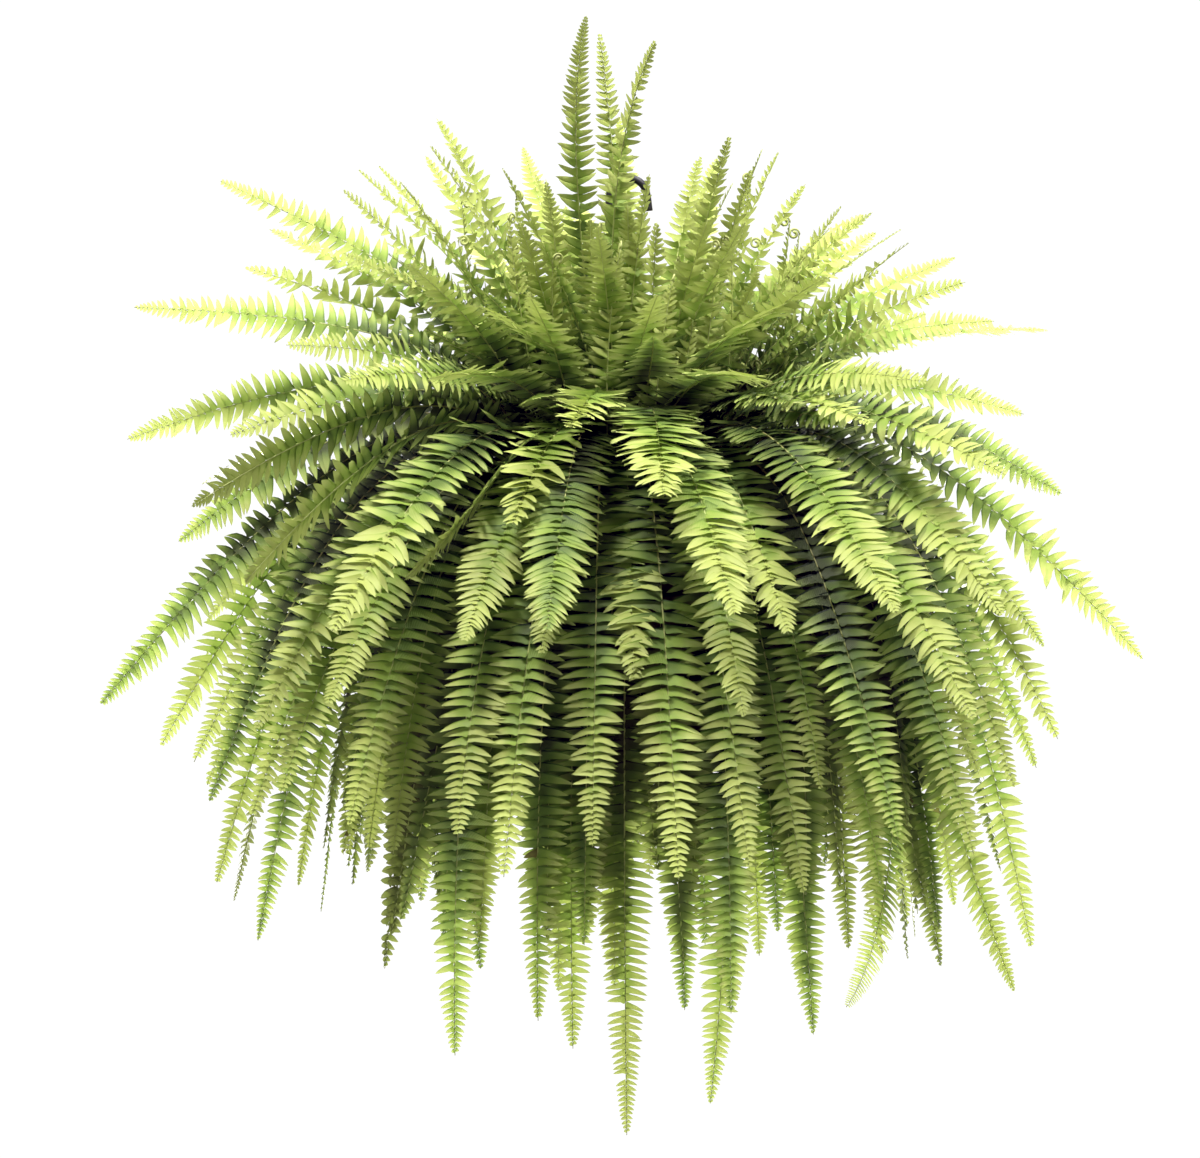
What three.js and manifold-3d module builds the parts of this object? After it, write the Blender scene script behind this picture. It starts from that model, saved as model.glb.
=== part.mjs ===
// A potted fern in a hanging basket: sword fern fronds that rise from many small crowns in a round plastic
// pot, and arch out and down on all sides of it. Millimetres, +Z up. The origin is the point under the arch of
// the hanger's hook that bears on whatever the basket hangs from. +X is right and -Y is towards the viewer.
import * as THREE from "three";
import { mergeVertices } from "three/addons/utils/BufferGeometryUtils.js";
import Module from "manifold-3d";

// Driving sizes of the basket, a common 10 inch one, and of the hook that carries it.
const POT_RADIUS = 127;
const POT_HEIGHT = 178;
const POT_BASE_RADIUS = 92;
const POT_WALL = 2.4;
const LIP_WIDTH = 10;
const LIP_THICKNESS = 3;
const LIP_SKIRT = 9;
const FOOT_HEIGHT = 5;
const FOOT_WIDTH = 8;
const FOOT_TAPER = 2;
const WALL_INSET = 1.5;
const LIP_BEVEL = 1;
const POT_SIDES = 24;
const DRAIN_RADIUS = 6;
const DRAIN_RING = 52;
const DRAIN_COUNT = 6;
const HOLE_SIDES = 8;
const RIM_Z = -252;
const SOIL_DEPTH_BELOW_RIM = 12;
const GAP = 0.35;
const CUT = 1;

// The hanger: a hook rod with an eye, a hub and disc below it, and strands with a button at each end.
const EYE_RADIUS = 12;
const HOOK_ROD_RADIUS = 3;
const HOOK_SIDES = 6;
const HOOK_STEPS = 24;
const HOOK_FREE_END = [16.5, -23];
const EYE_ARC = [0, 30, 60, 90, 120, 150, 180];
const HOOK_LEG = [[-14.5, -26], [-10, -40], [-3, -52], [0, -64], [0, -72]];
const EYE_CLEAR_SIZE = [20, 14, 30];
const HUB_TOP_Z = -58;
const HUB_RADIUS = 5.6;
const HUB_SHOULDER = 5;
const HUB_SIDES = 12;
const NECK_RADIUS = 3.2;
const NECK_HEIGHT = 6;
const DISC_TOP_Z = -90;
const DISC_THICKNESS = 4;
const DISC_RADIUS = 11;
const STRAND_RADIUS = 1.7;
const STRAND_SIDES = 6;
const STRAND_HOLE_RADIUS = 2.4;
const STRAND_RING = 6.6;
const STRAND_AZIMUTHS = [90, 210, 330];
const STRAND_STUB = 1;
const STRAND_DROP = 4;
const BUTTON_RADIUS = 3.3;
const BUTTON_HEIGHT = 3;

// How a frond grows, from the lowest skirt (tier 0) to the upright middle (tier 1), and on to the youngest that
// stand up near the rim (tier 1.2): its foot's distance from the pot's axis, the angle it rises at, the angle it
// falls to, and how far along it half that turn is made.
const TIER_STEPS = 5;
const FOOT_DISTANCE = [90, 80, 66, 58, 52, 32, 88];
const RISE_ANGLE = [66, 70, 74, 76, 78, 87, 66];
const FALL_ANGLE = [-88, -79, -58, -18, 24, 78, 86];
const TURN_LENGTH = [56, 80, 100, 116, 132, 200, 90];
const TURN_SHARPNESS = 2.2;
const ROLL_POWER = 0.8;
const PATH_STEP = 5;

// The rib is three-sided, and the leaflets are long thin pyramids on its two upper edges.
const BARE_LENGTH = 45;
const FULL_LEAFLET_AT = 140;
const TAPER_SHARE = [0.6, 0.5, 0.3, 0.34, 0.45, 0.6, 0.6];
const TAPER_POWER = 0.6;
const LEAFLET_PITCH = 90;
const PITCH_GROWTH = 1.36;
const LEAFLET_LEAN = 14;
const LEAFLET_DROOP = 8;
const SHORTEST_LEAFLET = 4;
const STALK_STEP = 26;
const TIP_LENGTH = 14;
const RIB_HALF_WIDTH = 1.6;
const RIB_HEIGHT = 2.6;
const RIB_TIP_SHARE = 0.45;

// Crowns: short scaly rootstocks, spread over the soil as seeds are in a flower head.
const CROWN_COUNT = 52;
const CROWN_SPREAD = 94;
const CROWN_TURN = 137.508;
const CROWN_RADIUS = 6.5;
const CROWN_DEPTH = 14;
const CROWN_SHOULDER = 2;
const CROWN_TOP = 8;
const CROWN_SIDES = 5;

// A frond is turned about its foot, by the first of these angles that leaves its rib this clear of all others
// and of the basket, and may rise from any of the few crowns nearest to its place.
const RIB_CLEARANCE = 6;
const TURNS_TRIED = [0, 2, -2, 4, -4, 6, -6, 8, -8, 10, -10, 13, -13, 16, -16, 20, -20, 25, -25];
const CROWNS_TRIED = 7;
const CROWN_REACH = 60;
const FOOT_SHARE = 0.4;
const STRAND_POINTS = 41;
const LIP_POINTS = 90;

// A leaflet that would run into another crown's fronds or the hanger is shortened to one of these shares, and
// the shapes tested are this much stouter than the real ones, which keeps a gap.
const SHARES_TRIED = [1, 0.8, 0.6, 0.45, 0.3];
const TEST_STOUTNESS = 1.5;
const TEST_REACH = 1.2;
const CELL = 40;

// The fronds that show from the front, each as azimuth (0 is +X and 270 is towards the viewer), tier, length,
// sideways bow, roll at the tip and length of the longest leaflets.
const FRONT_FRONDS = [
  // The skirt that hangs round the pot.
  [268, 0.06, 580, 1, 4, 31],
  [259, 0.02, 505, 2, -10, 36],
  [252, 0.1, 505, 4, 15, 36],
  [241, 0.13, 545, 7, -20, 37],
  [289, 0.05, 555, -9, 20, 34],
  [302, 0.08, 518, 0, 20, 36],
  [339, 0.05, 572, -80, 45, 29],
  [333, 0.15, 555, 28, 40, 33],
  [190, 0.22, 492, 0, -50, 33],
  [201, 0.17, 498, 3, -40, 33],
  [233, 0.03, 455, 12, -25, 36],
  [264, 0.0, 425, 0, 0, 34],
  [297, 0.02, 440, 0, 10, 34],
  [213, 0.08, 390, 0, -35, 36],
  [331, 0.08, 460, 0, 35, 34],
  [350, 0.1, 460, 0, 50, 34],
  [179, 0.1, 450, 0, -40, 34],
  [225, 0.02, 405, 0, -20, 34],
  [248, 0.0, 415, 0, 0, 33],
  [281, 0.0, 425, 0, 10, 34],
  [314, 0.02, 445, 0, 20, 34],
  [199, 0.04, 390, 0, -30, 34],
  [341, 0.03, 450, 0, 35, 33],
  [237, 0.0, 450, 0, -15, 34],
  [256, 0.01, 465, 2, 0, 34],
  [273, 0.02, 460, 0, 5, 34],
  [287, 0.0, 475, 0, 10, 34],
  [308, 0.02, 475, 0, 20, 34],
  [322, 0.05, 460, 0, 30, 34],
  [246, 0.06, 440, 0, -10, 34],
  [294, 0.08, 440, 0, 10, 34],
  [265, 0.07, 440, 0, 0, 34],
  [206, 0.05, 395, 0, -30, 35],
  [227, 0.0, 430, 0, -20, 33],
  [317, 0.0, 400, 0, 20, 34],
  [302, 0.0, 420, 0, 15, 34],
  [335, 0.1, 500, 8, 35, 34],
  // The long curtain outside it.
  [282, 0.2, 530, -3, 8, 36],
  [277, 0.27, 466, 0, -6, 36],
  [244, 0.27, 440, 6, -12, 36],
  [229, 0.25, 425, 0, -30, 35],
  [306, 0.27, 445, 0, 25, 36],
  [318, 0.26, 458, -4, 30, 34],
  [304, 0.18, 365, 0, 5, 31],
  [345, 0.2, 522, -10, 55, 33],
  [349, 0.3, 415, -4, 45, 33],
  [190, 0.31, 440, 4, -55, 30],
  [228, 0.35, 392, 0, -20, 31],
  [236, 0.2, 425, 3, -20, 34],
  [252, 0.22, 440, 0, -10, 34],
  [268, 0.24, 425, 0, 5, 34],
  [290, 0.24, 445, 0, 10, 34],
  [298, 0.22, 460, 0, 15, 34],
  [311, 0.2, 455, 0, 25, 34],
  [326, 0.26, 415, 0, 30, 34],
  [338, 0.26, 410, 0, 40, 33],
  [220, 0.28, 425, 0, -35, 33],
  [208, 0.26, 440, 0, -40, 33],
  [198, 0.26, 435, 0, -50, 33],
  [2, 0.26, 425, 0, 50, 33],
  [178, 0.26, 440, 0, -50, 32],
  // The arches that fall across the curtain.
  [262, 0.4, 350, 0, -8, 31],
  [272, 0.33, 350, 0, 5, 33],
  [284, 0.35, 388, 0, 5, 31],
  [284, 0.44, 376, 0, 0, 31],
  [300, 0.44, 378, 0, 20, 30],
  [314, 0.38, 425, 0, 30, 30],
  [234, 0.42, 374, 0, -28, 31],
  [216, 0.36, 424, 0, -40, 30],
  [185, 0.34, 456, 3, -60, 31],
  [183, 0.42, 492, 3, -55, 30],
  [358, 0.43, 458, 0, 50, 28],
  [221, 0.45, 372, 0, 70, 28],
  [328, 0.52, 340, 0, 40, 28],
  [253, 0.4, 318, -34, 75, 28],
  [256, 0.34, 335, 0, -10, 30],
  [292, 0.38, 345, 0, 10, 30],
  [323, 0.4, 350, 0, 35, 28],
  [244, 0.38, 350, 0, -20, 30],
  [352, 0.36, 368, 0, 50, 28],
  [172, 0.38, 375, 0, -50, 28],
  // The ones that reach level, over the rim.
  [272, 0.5, 322, 0, 0, 36],
  [261, 0.55, 292, 0, -10, 28],
  [254, 0.46, 312, 0, -5, 30],
  [206, 0.5, 358, 0, 78, 28],
  [178, 0.46, 364, 0, -55, 30],
  [198, 0.55, 335, 0, -55, 28],
  [180, 0.56, 390, 0, -75, 24],
  [354, 0.48, 325, 0, 60, 25],
  [4, 0.56, 325, 0, 60, 22],
  [340, 0.58, 235, 0, 50, 24],
  [222, 0.6, 295, 0, -45, 26],
  [320, 0.6, 268, 0, 45, 26],
  [312, 0.55, 292, 0, 15, 29],
  [239, 0.6, 270, 0, 20, 28],
  [292, 0.6, 285, 0, -15, 28],
  // The ones that reach up and out.
  [182, 0.67, 408, 0, -65, 28],
  [207, 0.64, 290, 0, -60, 25],
  [177, 0.78, 412, 0, -60, 27],
  [165, 0.76, 350, 0, -40, 24],
  [354, 0.72, 296, 0, 60, 25],
  [5, 0.66, 328, 0, 65, 24],
  [30, 0.79, 305, 0, 40, 27],
  [338, 0.77, 260, 0, 50, 27],
  [203, 0.83, 315, 0, -50, 28],
  [326, 0.83, 268, 0, 30, 25],
  [240, 0.7, 270, 0, -20, 27],
  [299, 0.7, 280, 0, 20, 27],
  [212, 0.74, 298, 0, -30, 28],
  [228, 0.78, 265, 0, 25, 27],
  [313, 0.74, 280, 0, -20, 27],
  [188, 0.76, 300, 0, -50, 25],
  [346, 0.7, 240, 0, 45, 24],
  [280, 0.74, 245, 0, 15, 27],
  [256, 0.74, 242, 0, -15, 27],
  // The young upright middle.
  [200, 0.88, 325, 0, -40, 28],
  [155, 0.9, 346, 0, -20, 28],
  [213, 0.97, 415, 42, 58, 23],
  [250, 1.0, 380, -4, 30, 24],
  [226, 0.99, 392, 42, 0, 24],
  [321, 0.93, 312, -8, -10, 26],
  [314, 0.86, 210, 0, 0, 22],
  [238, 0.96, 268, 0, 0, 24],
  [262, 0.84, 265, 0, 0, 25],
  [292, 0.86, 262, 0, 0, 25],
  [222, 0.88, 300, 0, -20, 26],
  [302, 0.9, 292, 0, 15, 26],
  [326, 0.9, 282, 0, 30, 25],
  [250, 0.9, 248, 10, 40, 24],
  [186, 0.92, 290, 0, -25, 25],
  [276, 0.92, 240, 0, -30, 23],
  [356, 0.82, 298, -10, 35, 27],
  [90, 0.9, 310, 0, 0, 26],
  [62, 0.88, 318, 0, 20, 26],
  [120, 0.9, 318, 0, -20, 26],
  [240, 0.88, 250, 0, 10, 25],
  [268, 0.9, 262, 0, -25, 24],
  [284, 0.95, 275, 5, 30, 24],
  [304, 0.84, 268, 0, 10, 26],
  [342, 0.87, 270, 0, 35, 26],
  [214, 0.8, 265, 0, -20, 28],
  [20, 0.88, 290, 0, 20, 26],
  [150, 0.88, 318, 0, -25, 26],
  [192, 0.84, 330, 0, -30, 27],
  [214, 0.86, 300, 0, -20, 27],
  [168, 0.72, 335, 0, -40, 26],
  [22, 0.74, 318, 0, 40, 26],
  [331, 0.8, 280, 0, 20, 26],
  [38, 0.8, 325, 0, 30, 26],
  [350, 0.8, 300, 0, 10, 25],
  [75, 0.84, 320, 0, 0, 26],
  [338, 0.94, 300, 0, 10, 25],
  [105, 0.95, 330, 0, 10, 25],
  [175, 0.86, 320, 0, -20, 26],
  // The youngest, which stand up from all over the soil.
  [350, 1.2, 232, 0, 20, 22],
  [335, 1.15, 190, 0, -20, 22],
  [318, 1.15, 178, 0, 10, 22],
  [300, 1.1, 165, 0, -10, 20],
  [280, 1.1, 150, 0, 15, 18],
  [262, 1.1, 145, 0, -15, 18],
  [245, 1.15, 190, 0, 10, 20],
  [225, 1.2, 222, 0, -20, 22],
  [218, 1.15, 240, 0, 20, 22],
  [10, 1.2, 238, 0, 10, 22],
  [40, 1.15, 275, 0, 0, 22],
  [170, 1.2, 255, 0, 0, 22],
  [130, 1.15, 260, 0, 0, 22],
];

// The fronds at the back follow the same tiers by rule: tier, how many, first and last azimuth, and length.
const BACK_TIERS = [
  [0.03, 12, 10, 170, 470, 36],
  [0.18, 9, 8, 170, 490, 34],
  [0.36, 8, 20, 166, 425, 32],
  [0.5, 8, 18, 162, 390, 31],
  [0.64, 8, 26, 156, 350, 28],
  [0.78, 5, 48, 146, 340, 28],
  [0.91, 4, 32, 128, 285, 24],
];
const BACK_SEED = 4127;
const BACK_TURN_SPREAD = 8;
const BACK_TIER_SPREAD = 0.04;
const BACK_LENGTH_SPREAD = 0.16;
const BACK_BOW_SPREAD = 16;
const BACK_ROLL_SPREAD = 36;

const SOIL_Z = RIM_Z - SOIL_DEPTH_BELOW_RIM;
const POT_BASE_Z = RIM_Z - POT_HEIGHT;
const POT_FLOOR_Z = POT_BASE_Z + FOOT_HEIGHT;
const LIP_RADIUS = POT_RADIUS + LIP_WIDTH;
const STRAND_RIM_RING = LIP_RADIUS - 7;

const POT_PLASTIC = new THREE.MeshStandardMaterial({ color: "#1d2a22", roughness: 0.45, metalness: 0 });
const HANGER_PLASTIC = new THREE.MeshStandardMaterial({ color: "#16141a", roughness: 0.4, metalness: 0 });
const POTTING_SOIL = new THREE.MeshStandardMaterial({ color: "#2e2118", roughness: 1, metalness: 0 });
const FERN_GREEN = new THREE.MeshStandardMaterial({ color: "#7fa83a", roughness: 0.55, metalness: 0 });

const { degToRad, lerp, clamp, smoothstep } = THREE.MathUtils;
const vector = (x, y, z) => new THREE.Vector3(x, y, z);
const range = (count) => Array.from({ length: count }, (_, i) => i);
const wasm = await Module();
wasm.setup();

// Numbers from 0 to 1 that are the same on every run.
function makeDraw(seed) {
  let state = seed;
  return () => {
    state = (Math.imul(state, 1664525) + 1013904223) >>> 0;
    return state / 2 ** 32;
  };
}

// Solids from arrays, triangles and geometries, and back.
function solidFromArrays(vertProperties, triVerts) {
  return new wasm.Manifold(new wasm.Mesh({ numProp: 3, vertProperties, triVerts }));
}

function solidFromTriangles(points, triangles) {
  const vertProperties = new Float32Array(points.flatMap((p) => [p.x, p.y, p.z]));
  return solidFromArrays(vertProperties, new Uint32Array(triangles));
}

function solidFromGeometry(geometry) {
  const bare = new THREE.BufferGeometry().setAttribute("position", geometry.getAttribute("position"));
  bare.setIndex(geometry.index);
  const merged = mergeVertices(bare, 1e-3);
  return solidFromArrays(merged.attributes.position.array, new Uint32Array(merged.index.array));
}

function meshFromSolid(name, solid, material, place = vector(0, 0, 0)) {
  const { vertProperties, triVerts } = solid.getMesh();
  const geometry = new THREE.BufferGeometry()
    .setAttribute("position", new THREE.BufferAttribute(vertProperties, 3))
    .setIndex(new THREE.BufferAttribute(triVerts, 1));
  geometry.translate(-place.x, -place.y, -place.z);
  geometry.computeVertexNormals();
  const mesh = new THREE.Mesh(geometry, material);
  mesh.name = name;
  mesh.position.copy(place);
  return mesh;
}

// A body of revolution about Z from [radius, height] pairs, which run upwards on the outside.
function turned(profile, sides) {
  const geometry = new THREE.LatheGeometry(profile.map(([r, z]) => new THREE.Vector2(r, z)), sides);
  return solidFromGeometry(geometry.rotateX(Math.PI / 2));
}

function drill(radius, low, high, sides) {
  const geometry = new THREE.CylinderGeometry(radius, radius, high - low, sides).rotateX(Math.PI / 2);
  return solidFromGeometry(geometry.translate(0, 0, (low + high) / 2));
}

function rodAlong(points, radius, sides, steps) {
  const section = new THREE.Shape(
    range(sides).map((i) => {
      const angle = (2 * Math.PI * i) / sides;
      return new THREE.Vector2(radius * Math.cos(angle), radius * Math.sin(angle));
    }),
  );
  const extrudePath = new THREE.CatmullRomCurve3(points, false, "centripetal");
  return solidFromGeometry(new THREE.ExtrudeGeometry(section, { steps, bevelEnabled: false, extrudePath }));
}

const atAzimuth = (radius, azimuth, z) =>
  vector(radius * Math.cos(degToRad(azimuth)), radius * Math.sin(degToRad(azimuth)), z);

// Holes for the strands, or for draining, at one height range.
function drillRing(solid, azimuths, ring, radius, low, high) {
  return azimuths.reduce((rest, azimuth) => {
    const place = atAzimuth(ring, azimuth, 0);
    return rest.subtract(drill(radius, low - CUT, high + CUT, HOLE_SIDES).translate([place.x, place.y, 0]));
  }, solid);
}

// The pot: a tapered wall with a foot ring, drain holes in the floor, and a turned-down lip with strand holes.
function makePot() {
  const lipUnderside = RIM_Z - LIP_THICKNESS;
  const profile = [
    [0, POT_FLOOR_Z],
    [POT_BASE_RADIUS - FOOT_WIDTH, POT_FLOOR_Z],
    [POT_BASE_RADIUS - FOOT_WIDTH + FOOT_TAPER, POT_BASE_Z],
    [POT_BASE_RADIUS, POT_BASE_Z],
    [POT_RADIUS - WALL_INSET, lipUnderside],
    [LIP_RADIUS - POT_WALL, lipUnderside],
    [LIP_RADIUS - POT_WALL, RIM_Z - LIP_SKIRT],
    [LIP_RADIUS, RIM_Z - LIP_SKIRT],
    [LIP_RADIUS, RIM_Z - LIP_BEVEL],
    [LIP_RADIUS - LIP_BEVEL, RIM_Z],
    [POT_RADIUS - POT_WALL, RIM_Z],
    [POT_BASE_RADIUS - POT_WALL, POT_FLOOR_Z + POT_WALL],
    [0, POT_FLOOR_Z + POT_WALL],
  ];
  const drains = range(DRAIN_COUNT).map((i) => (360 * i) / DRAIN_COUNT);
  const drained = drillRing(
    turned(profile, POT_SIDES), drains, DRAIN_RING, DRAIN_RADIUS, POT_FLOOR_Z, POT_FLOOR_Z + POT_WALL,
  );
  return drillRing(drained, STRAND_AZIMUTHS, STRAND_RIM_RING, STRAND_HOLE_RADIUS, lipUnderside, RIM_Z);
}

// The soil fills the pot, with a plain hole for each crown that is in use.
function makeSoil(crowns) {
  const bottom = POT_FLOOR_Z + POT_WALL + GAP;
  const radiusAt = (z) => {
    const share = (z - POT_FLOOR_Z - POT_WALL) / (RIM_Z - POT_FLOOR_Z - POT_WALL);
    return lerp(POT_BASE_RADIUS, POT_RADIUS, share) - POT_WALL - 2 * GAP;
  };
  const profile = [[0, bottom], [radiusAt(bottom), bottom], [radiusAt(SOIL_Z), SOIL_Z], [0, SOIL_Z]];
  return crowns.reduce((soil, { place }) => {
    const hole = drill(CROWN_RADIUS + GAP, SOIL_Z - CROWN_DEPTH - GAP, SOIL_Z + CUT, CROWN_SIDES);
    return soil.subtract(hole.translate([place.x, place.y, 0]));
  }, turned(profile, POT_SIDES));
}

// The hook's rod runs from its free end over the eye, and down the left side to the hub.
const eyeCentre = vector(0, 0, -EYE_RADIUS);
const eyeArc = EYE_ARC.map((angle) => atAzimuth(EYE_RADIUS + HOOK_ROD_RADIUS, angle, 0));
const hookPath = [
  HOOK_FREE_END,
  ...eyeArc.map((point) => [point.x, point.y - EYE_RADIUS]),
  ...HOOK_LEG,
].map(([x, z]) => vector(x, 0, z));

function makeHook() {
  const discBottom = DISC_TOP_Z - DISC_THICKNESS;
  const neckTop = DISC_TOP_Z + NECK_HEIGHT;
  const profile = [
    [0, discBottom],
    [DISC_RADIUS, discBottom],
    [DISC_RADIUS, DISC_TOP_Z],
    [NECK_RADIUS, DISC_TOP_Z],
    [NECK_RADIUS, neckTop],
    [HUB_RADIUS, neckTop + HUB_SHOULDER],
    [HUB_RADIUS, HUB_TOP_Z - HUB_SHOULDER],
    [HOOK_ROD_RADIUS, HUB_TOP_Z],
    [0, HUB_TOP_Z],
  ];
  const rod = rodAlong(hookPath, HOOK_ROD_RADIUS, HOOK_SIDES, HOOK_STEPS);
  const whole = rod.add(turned(profile, HUB_SIDES));
  return drillRing(whole, STRAND_AZIMUTHS, STRAND_RING, STRAND_HOLE_RADIUS, discBottom, DISC_TOP_Z);
}

// A strand drops through its hole in the disc, runs straight to the rim, and drops through a hole in the lip.
function strandCorners(azimuth) {
  return [
    atAzimuth(STRAND_RING, azimuth, DISC_TOP_Z + GAP + STRAND_STUB),
    atAzimuth(STRAND_RING, azimuth, DISC_TOP_Z - DISC_THICKNESS - STRAND_DROP),
    atAzimuth(STRAND_RIM_RING, azimuth, RIM_Z + STRAND_DROP),
    atAzimuth(STRAND_RIM_RING, azimuth, RIM_Z - LIP_THICKNESS - GAP - STRAND_STUB),
  ];
}

function straightRod(from, to, radius, sides) {
  const along = to.clone().sub(from);
  const turn = new THREE.Quaternion().setFromUnitVectors(vector(0, 1, 0), along.clone().normalize());
  const geometry = new THREE.CylinderGeometry(radius, radius, along.length(), sides).applyQuaternion(turn);
  const middle = from.clone().lerp(to, 0.5);
  return solidFromGeometry(geometry.translate(middle.x, middle.y, middle.z));
}

function makeStrand(azimuth) {
  const corners = strandCorners(azimuth);
  const buttonAt = (radius, low) => {
    const place = atAzimuth(radius, azimuth, 0);
    return drill(BUTTON_RADIUS, low, low + BUTTON_HEIGHT, STRAND_SIDES + 2).translate([place.x, place.y, 0]);
  };
  const rods = range(3).map((i) => straightRod(corners[i], corners[i + 1], STRAND_RADIUS, STRAND_SIDES));
  return rods
    .reduce((whole, rod) => whole.add(rod))
    .add(buttonAt(STRAND_RING, DISC_TOP_Z + GAP))
    .add(buttonAt(STRAND_RIM_RING, RIM_Z - LIP_THICKNESS - GAP - BUTTON_HEIGHT));
}

// A value between the rows of a tier table.
function atTier(table, tier) {
  const place = clamp(tier * TIER_STEPS, 0, table.length - 1);
  const row = Math.min(Math.floor(place), table.length - 2);
  return lerp(table[row], table[row + 1], place - row);
}

function backFronds() {
  const draw = makeDraw(BACK_SEED);
  const spread = (size) => (draw() - 0.5) * size;
  return BACK_TIERS.flatMap(([tier, count, first, last, length, reach]) =>
    range(count).map((i) => [
      lerp(first, last, i / (count - 1)) + spread(BACK_TURN_SPREAD),
      tier + spread(BACK_TIER_SPREAD),
      length * (1 + spread(BACK_LENGTH_SPREAD)),
      spread(BACK_BOW_SPREAD),
      spread(BACK_ROLL_SPREAD),
      reach,
    ]),
  );
}

// The rib's points from its foot outwards, each with its direction, its left side and its upper side.
function ribPath([azimuth, tier, length, bow, roll], foot) {
  const across = atAzimuth(1, azimuth + 90, 0);
  const rise = atTier(RISE_ANGLE, tier);
  const fall = atTier(FALL_ANGLE, tier);
  const turn = atTier(TURN_LENGTH, tier);
  const point = foot.clone();
  return range(Math.round(length / PATH_STEP) + 1).map((i) => {
    const along = i * PATH_STEP;
    const slope = degToRad(fall + (rise - fall) / (1 + (along / turn) ** TURN_SHARPNESS));
    const flat = atAzimuth(Math.cos(slope), azimuth, Math.sin(slope));
    const sweep = degToRad(bow) * (along / length) ** 2;
    const ahead = flat.clone().multiplyScalar(Math.cos(sweep)).addScaledVector(across, Math.sin(sweep));
    const side = across.clone().multiplyScalar(Math.cos(sweep)).addScaledVector(flat, -Math.sin(sweep));
    side.applyAxisAngle(ahead, degToRad(roll) * (along / length) ** ROLL_POWER);
    const up = ahead.clone().cross(side);
    const here = { point: point.clone(), ahead, side, up, along };
    point.addScaledVector(ahead, PATH_STEP);
    return here;
  });
}

// What ribs keep clear of besides each other: the strands, the hook, its eye, the disc and the pot's lip.
function basketPoints() {
  const strand = (azimuth) => {
    const [, from, to] = strandCorners(azimuth);
    return range(STRAND_POINTS).map((i) => [from.clone().lerp(to, i / (STRAND_POINTS - 1)), STRAND_RADIUS]);
  };
  const lip = range(LIP_POINTS).map((i) => atAzimuth(STRAND_RIM_RING, (360 * i) / LIP_POINTS, RIM_Z));
  const all = [
    ...STRAND_AZIMUTHS.flatMap(strand),
    ...hookPath.map((point) => [point, HOOK_ROD_RADIUS]),
    ...lip.map((point) => [point, LIP_WIDTH / 2]),
    [eyeCentre, EYE_RADIUS],
    [vector(0, 0, DISC_TOP_Z), DISC_RADIUS],
  ];
  return all.map(([point, radius]) => ({ point, radius, crown: null }));
}

// Ribs of one crown may touch near its foot, and no others may.
function isClear(path, crown, standing) {
  return path.every(({ point, along }) =>
    standing.every((other) => {
      const together = other.crown === crown && other.along < CROWN_REACH && along < CROWN_REACH;
      return together || other.point.distanceTo(point) > other.radius + RIB_CLEARANCE;
    }),
  );
}

// The crowns that carry fronds, each with its own. A frond rises from a crown near its ideal foot.
function growCrowns() {
  const crowns = range(CROWN_COUNT).map((i) => {
    const place = atAzimuth(CROWN_SPREAD * Math.sqrt((i + 0.5) / CROWN_COUNT), CROWN_TURN * i, SOIL_Z);
    return { place, fronds: [] };
  });
  const standing = basketPoints();
  for (const frond of [...FRONT_FRONDS, ...backFronds()]) {
    const [azimuth, tier, length, bow, roll, reach] = frond;
    const ideal = atAzimuth(atTier(FOOT_DISTANCE, tier), azimuth, SOIL_Z);
    const nearest = crowns.toSorted((a, b) => ideal.distanceTo(a.place) - ideal.distanceTo(b.place));
    const grow = (turn, crown) => {
      const foot = atAzimuth(CROWN_RADIUS * FOOT_SHARE, azimuth + turn, 0).add(crown.place);
      return { crown, path: ribPath([azimuth + turn, tier, length, bow, roll], foot) };
    };
    const tries = TURNS_TRIED.flatMap((turn) => nearest.slice(0, CROWNS_TRIED).map((crown) => [turn, crown]));
    const clear = tries.find(([turn, crown]) => isClear(grow(turn, crown).path, crown, standing));
    if (!clear) throw new Error(`no room for the frond at ${frond}`);
    const { crown, path } = grow(...clear);
    crown.fronds.push({ path, tier, length, reach });
    path.forEach(({ point, along }) => standing.push({ point, radius: 0, crown, along }));
  }
  return crowns.filter((crown) => crown.fronds.length);
}

// Leaflet length at a place along a frond: it grows from the first leaflet, then tapers to the tip.
function leafletLength(along, { tier, length, reach }) {
  const grown = smoothstep(along, BARE_LENGTH, FULL_LEAFLET_AT);
  const left = Math.min(1, (length - along) / length / atTier(TAPER_SHARE, tier));
  return reach * grown * left ** TAPER_POWER;
}

// The rib's place at any length along its path.
function ribAt(path, along) {
  const place = clamp(along / PATH_STEP, 0, path.length - 1.001);
  const [a, b, share] = [path[Math.floor(place)], path[Math.floor(place) + 1], place % 1];
  const mix = (key) => a[key].clone().lerp(b[key], share);
  return { point: mix("point"), ahead: mix("ahead"), side: mix("side"), up: mix("up"), along };
}

// The rib's three corners at a station: left edge, right edge and keel.
function ribCorners({ point, side, up, along }, length, stoutness = 1) {
  const size = stoutness * lerp(1, RIB_TIP_SHARE, along / length);
  return [
    point.clone().addScaledVector(side, RIB_HALF_WIDTH * size).addScaledVector(up, (RIB_HEIGHT * size) / 3),
    point.clone().addScaledVector(side, -RIB_HALF_WIDTH * size).addScaledVector(up, (RIB_HEIGHT * size) / 3),
    point.clone().addScaledVector(up, (-RIB_HEIGHT * size * 2) / 3),
  ];
}

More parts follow.
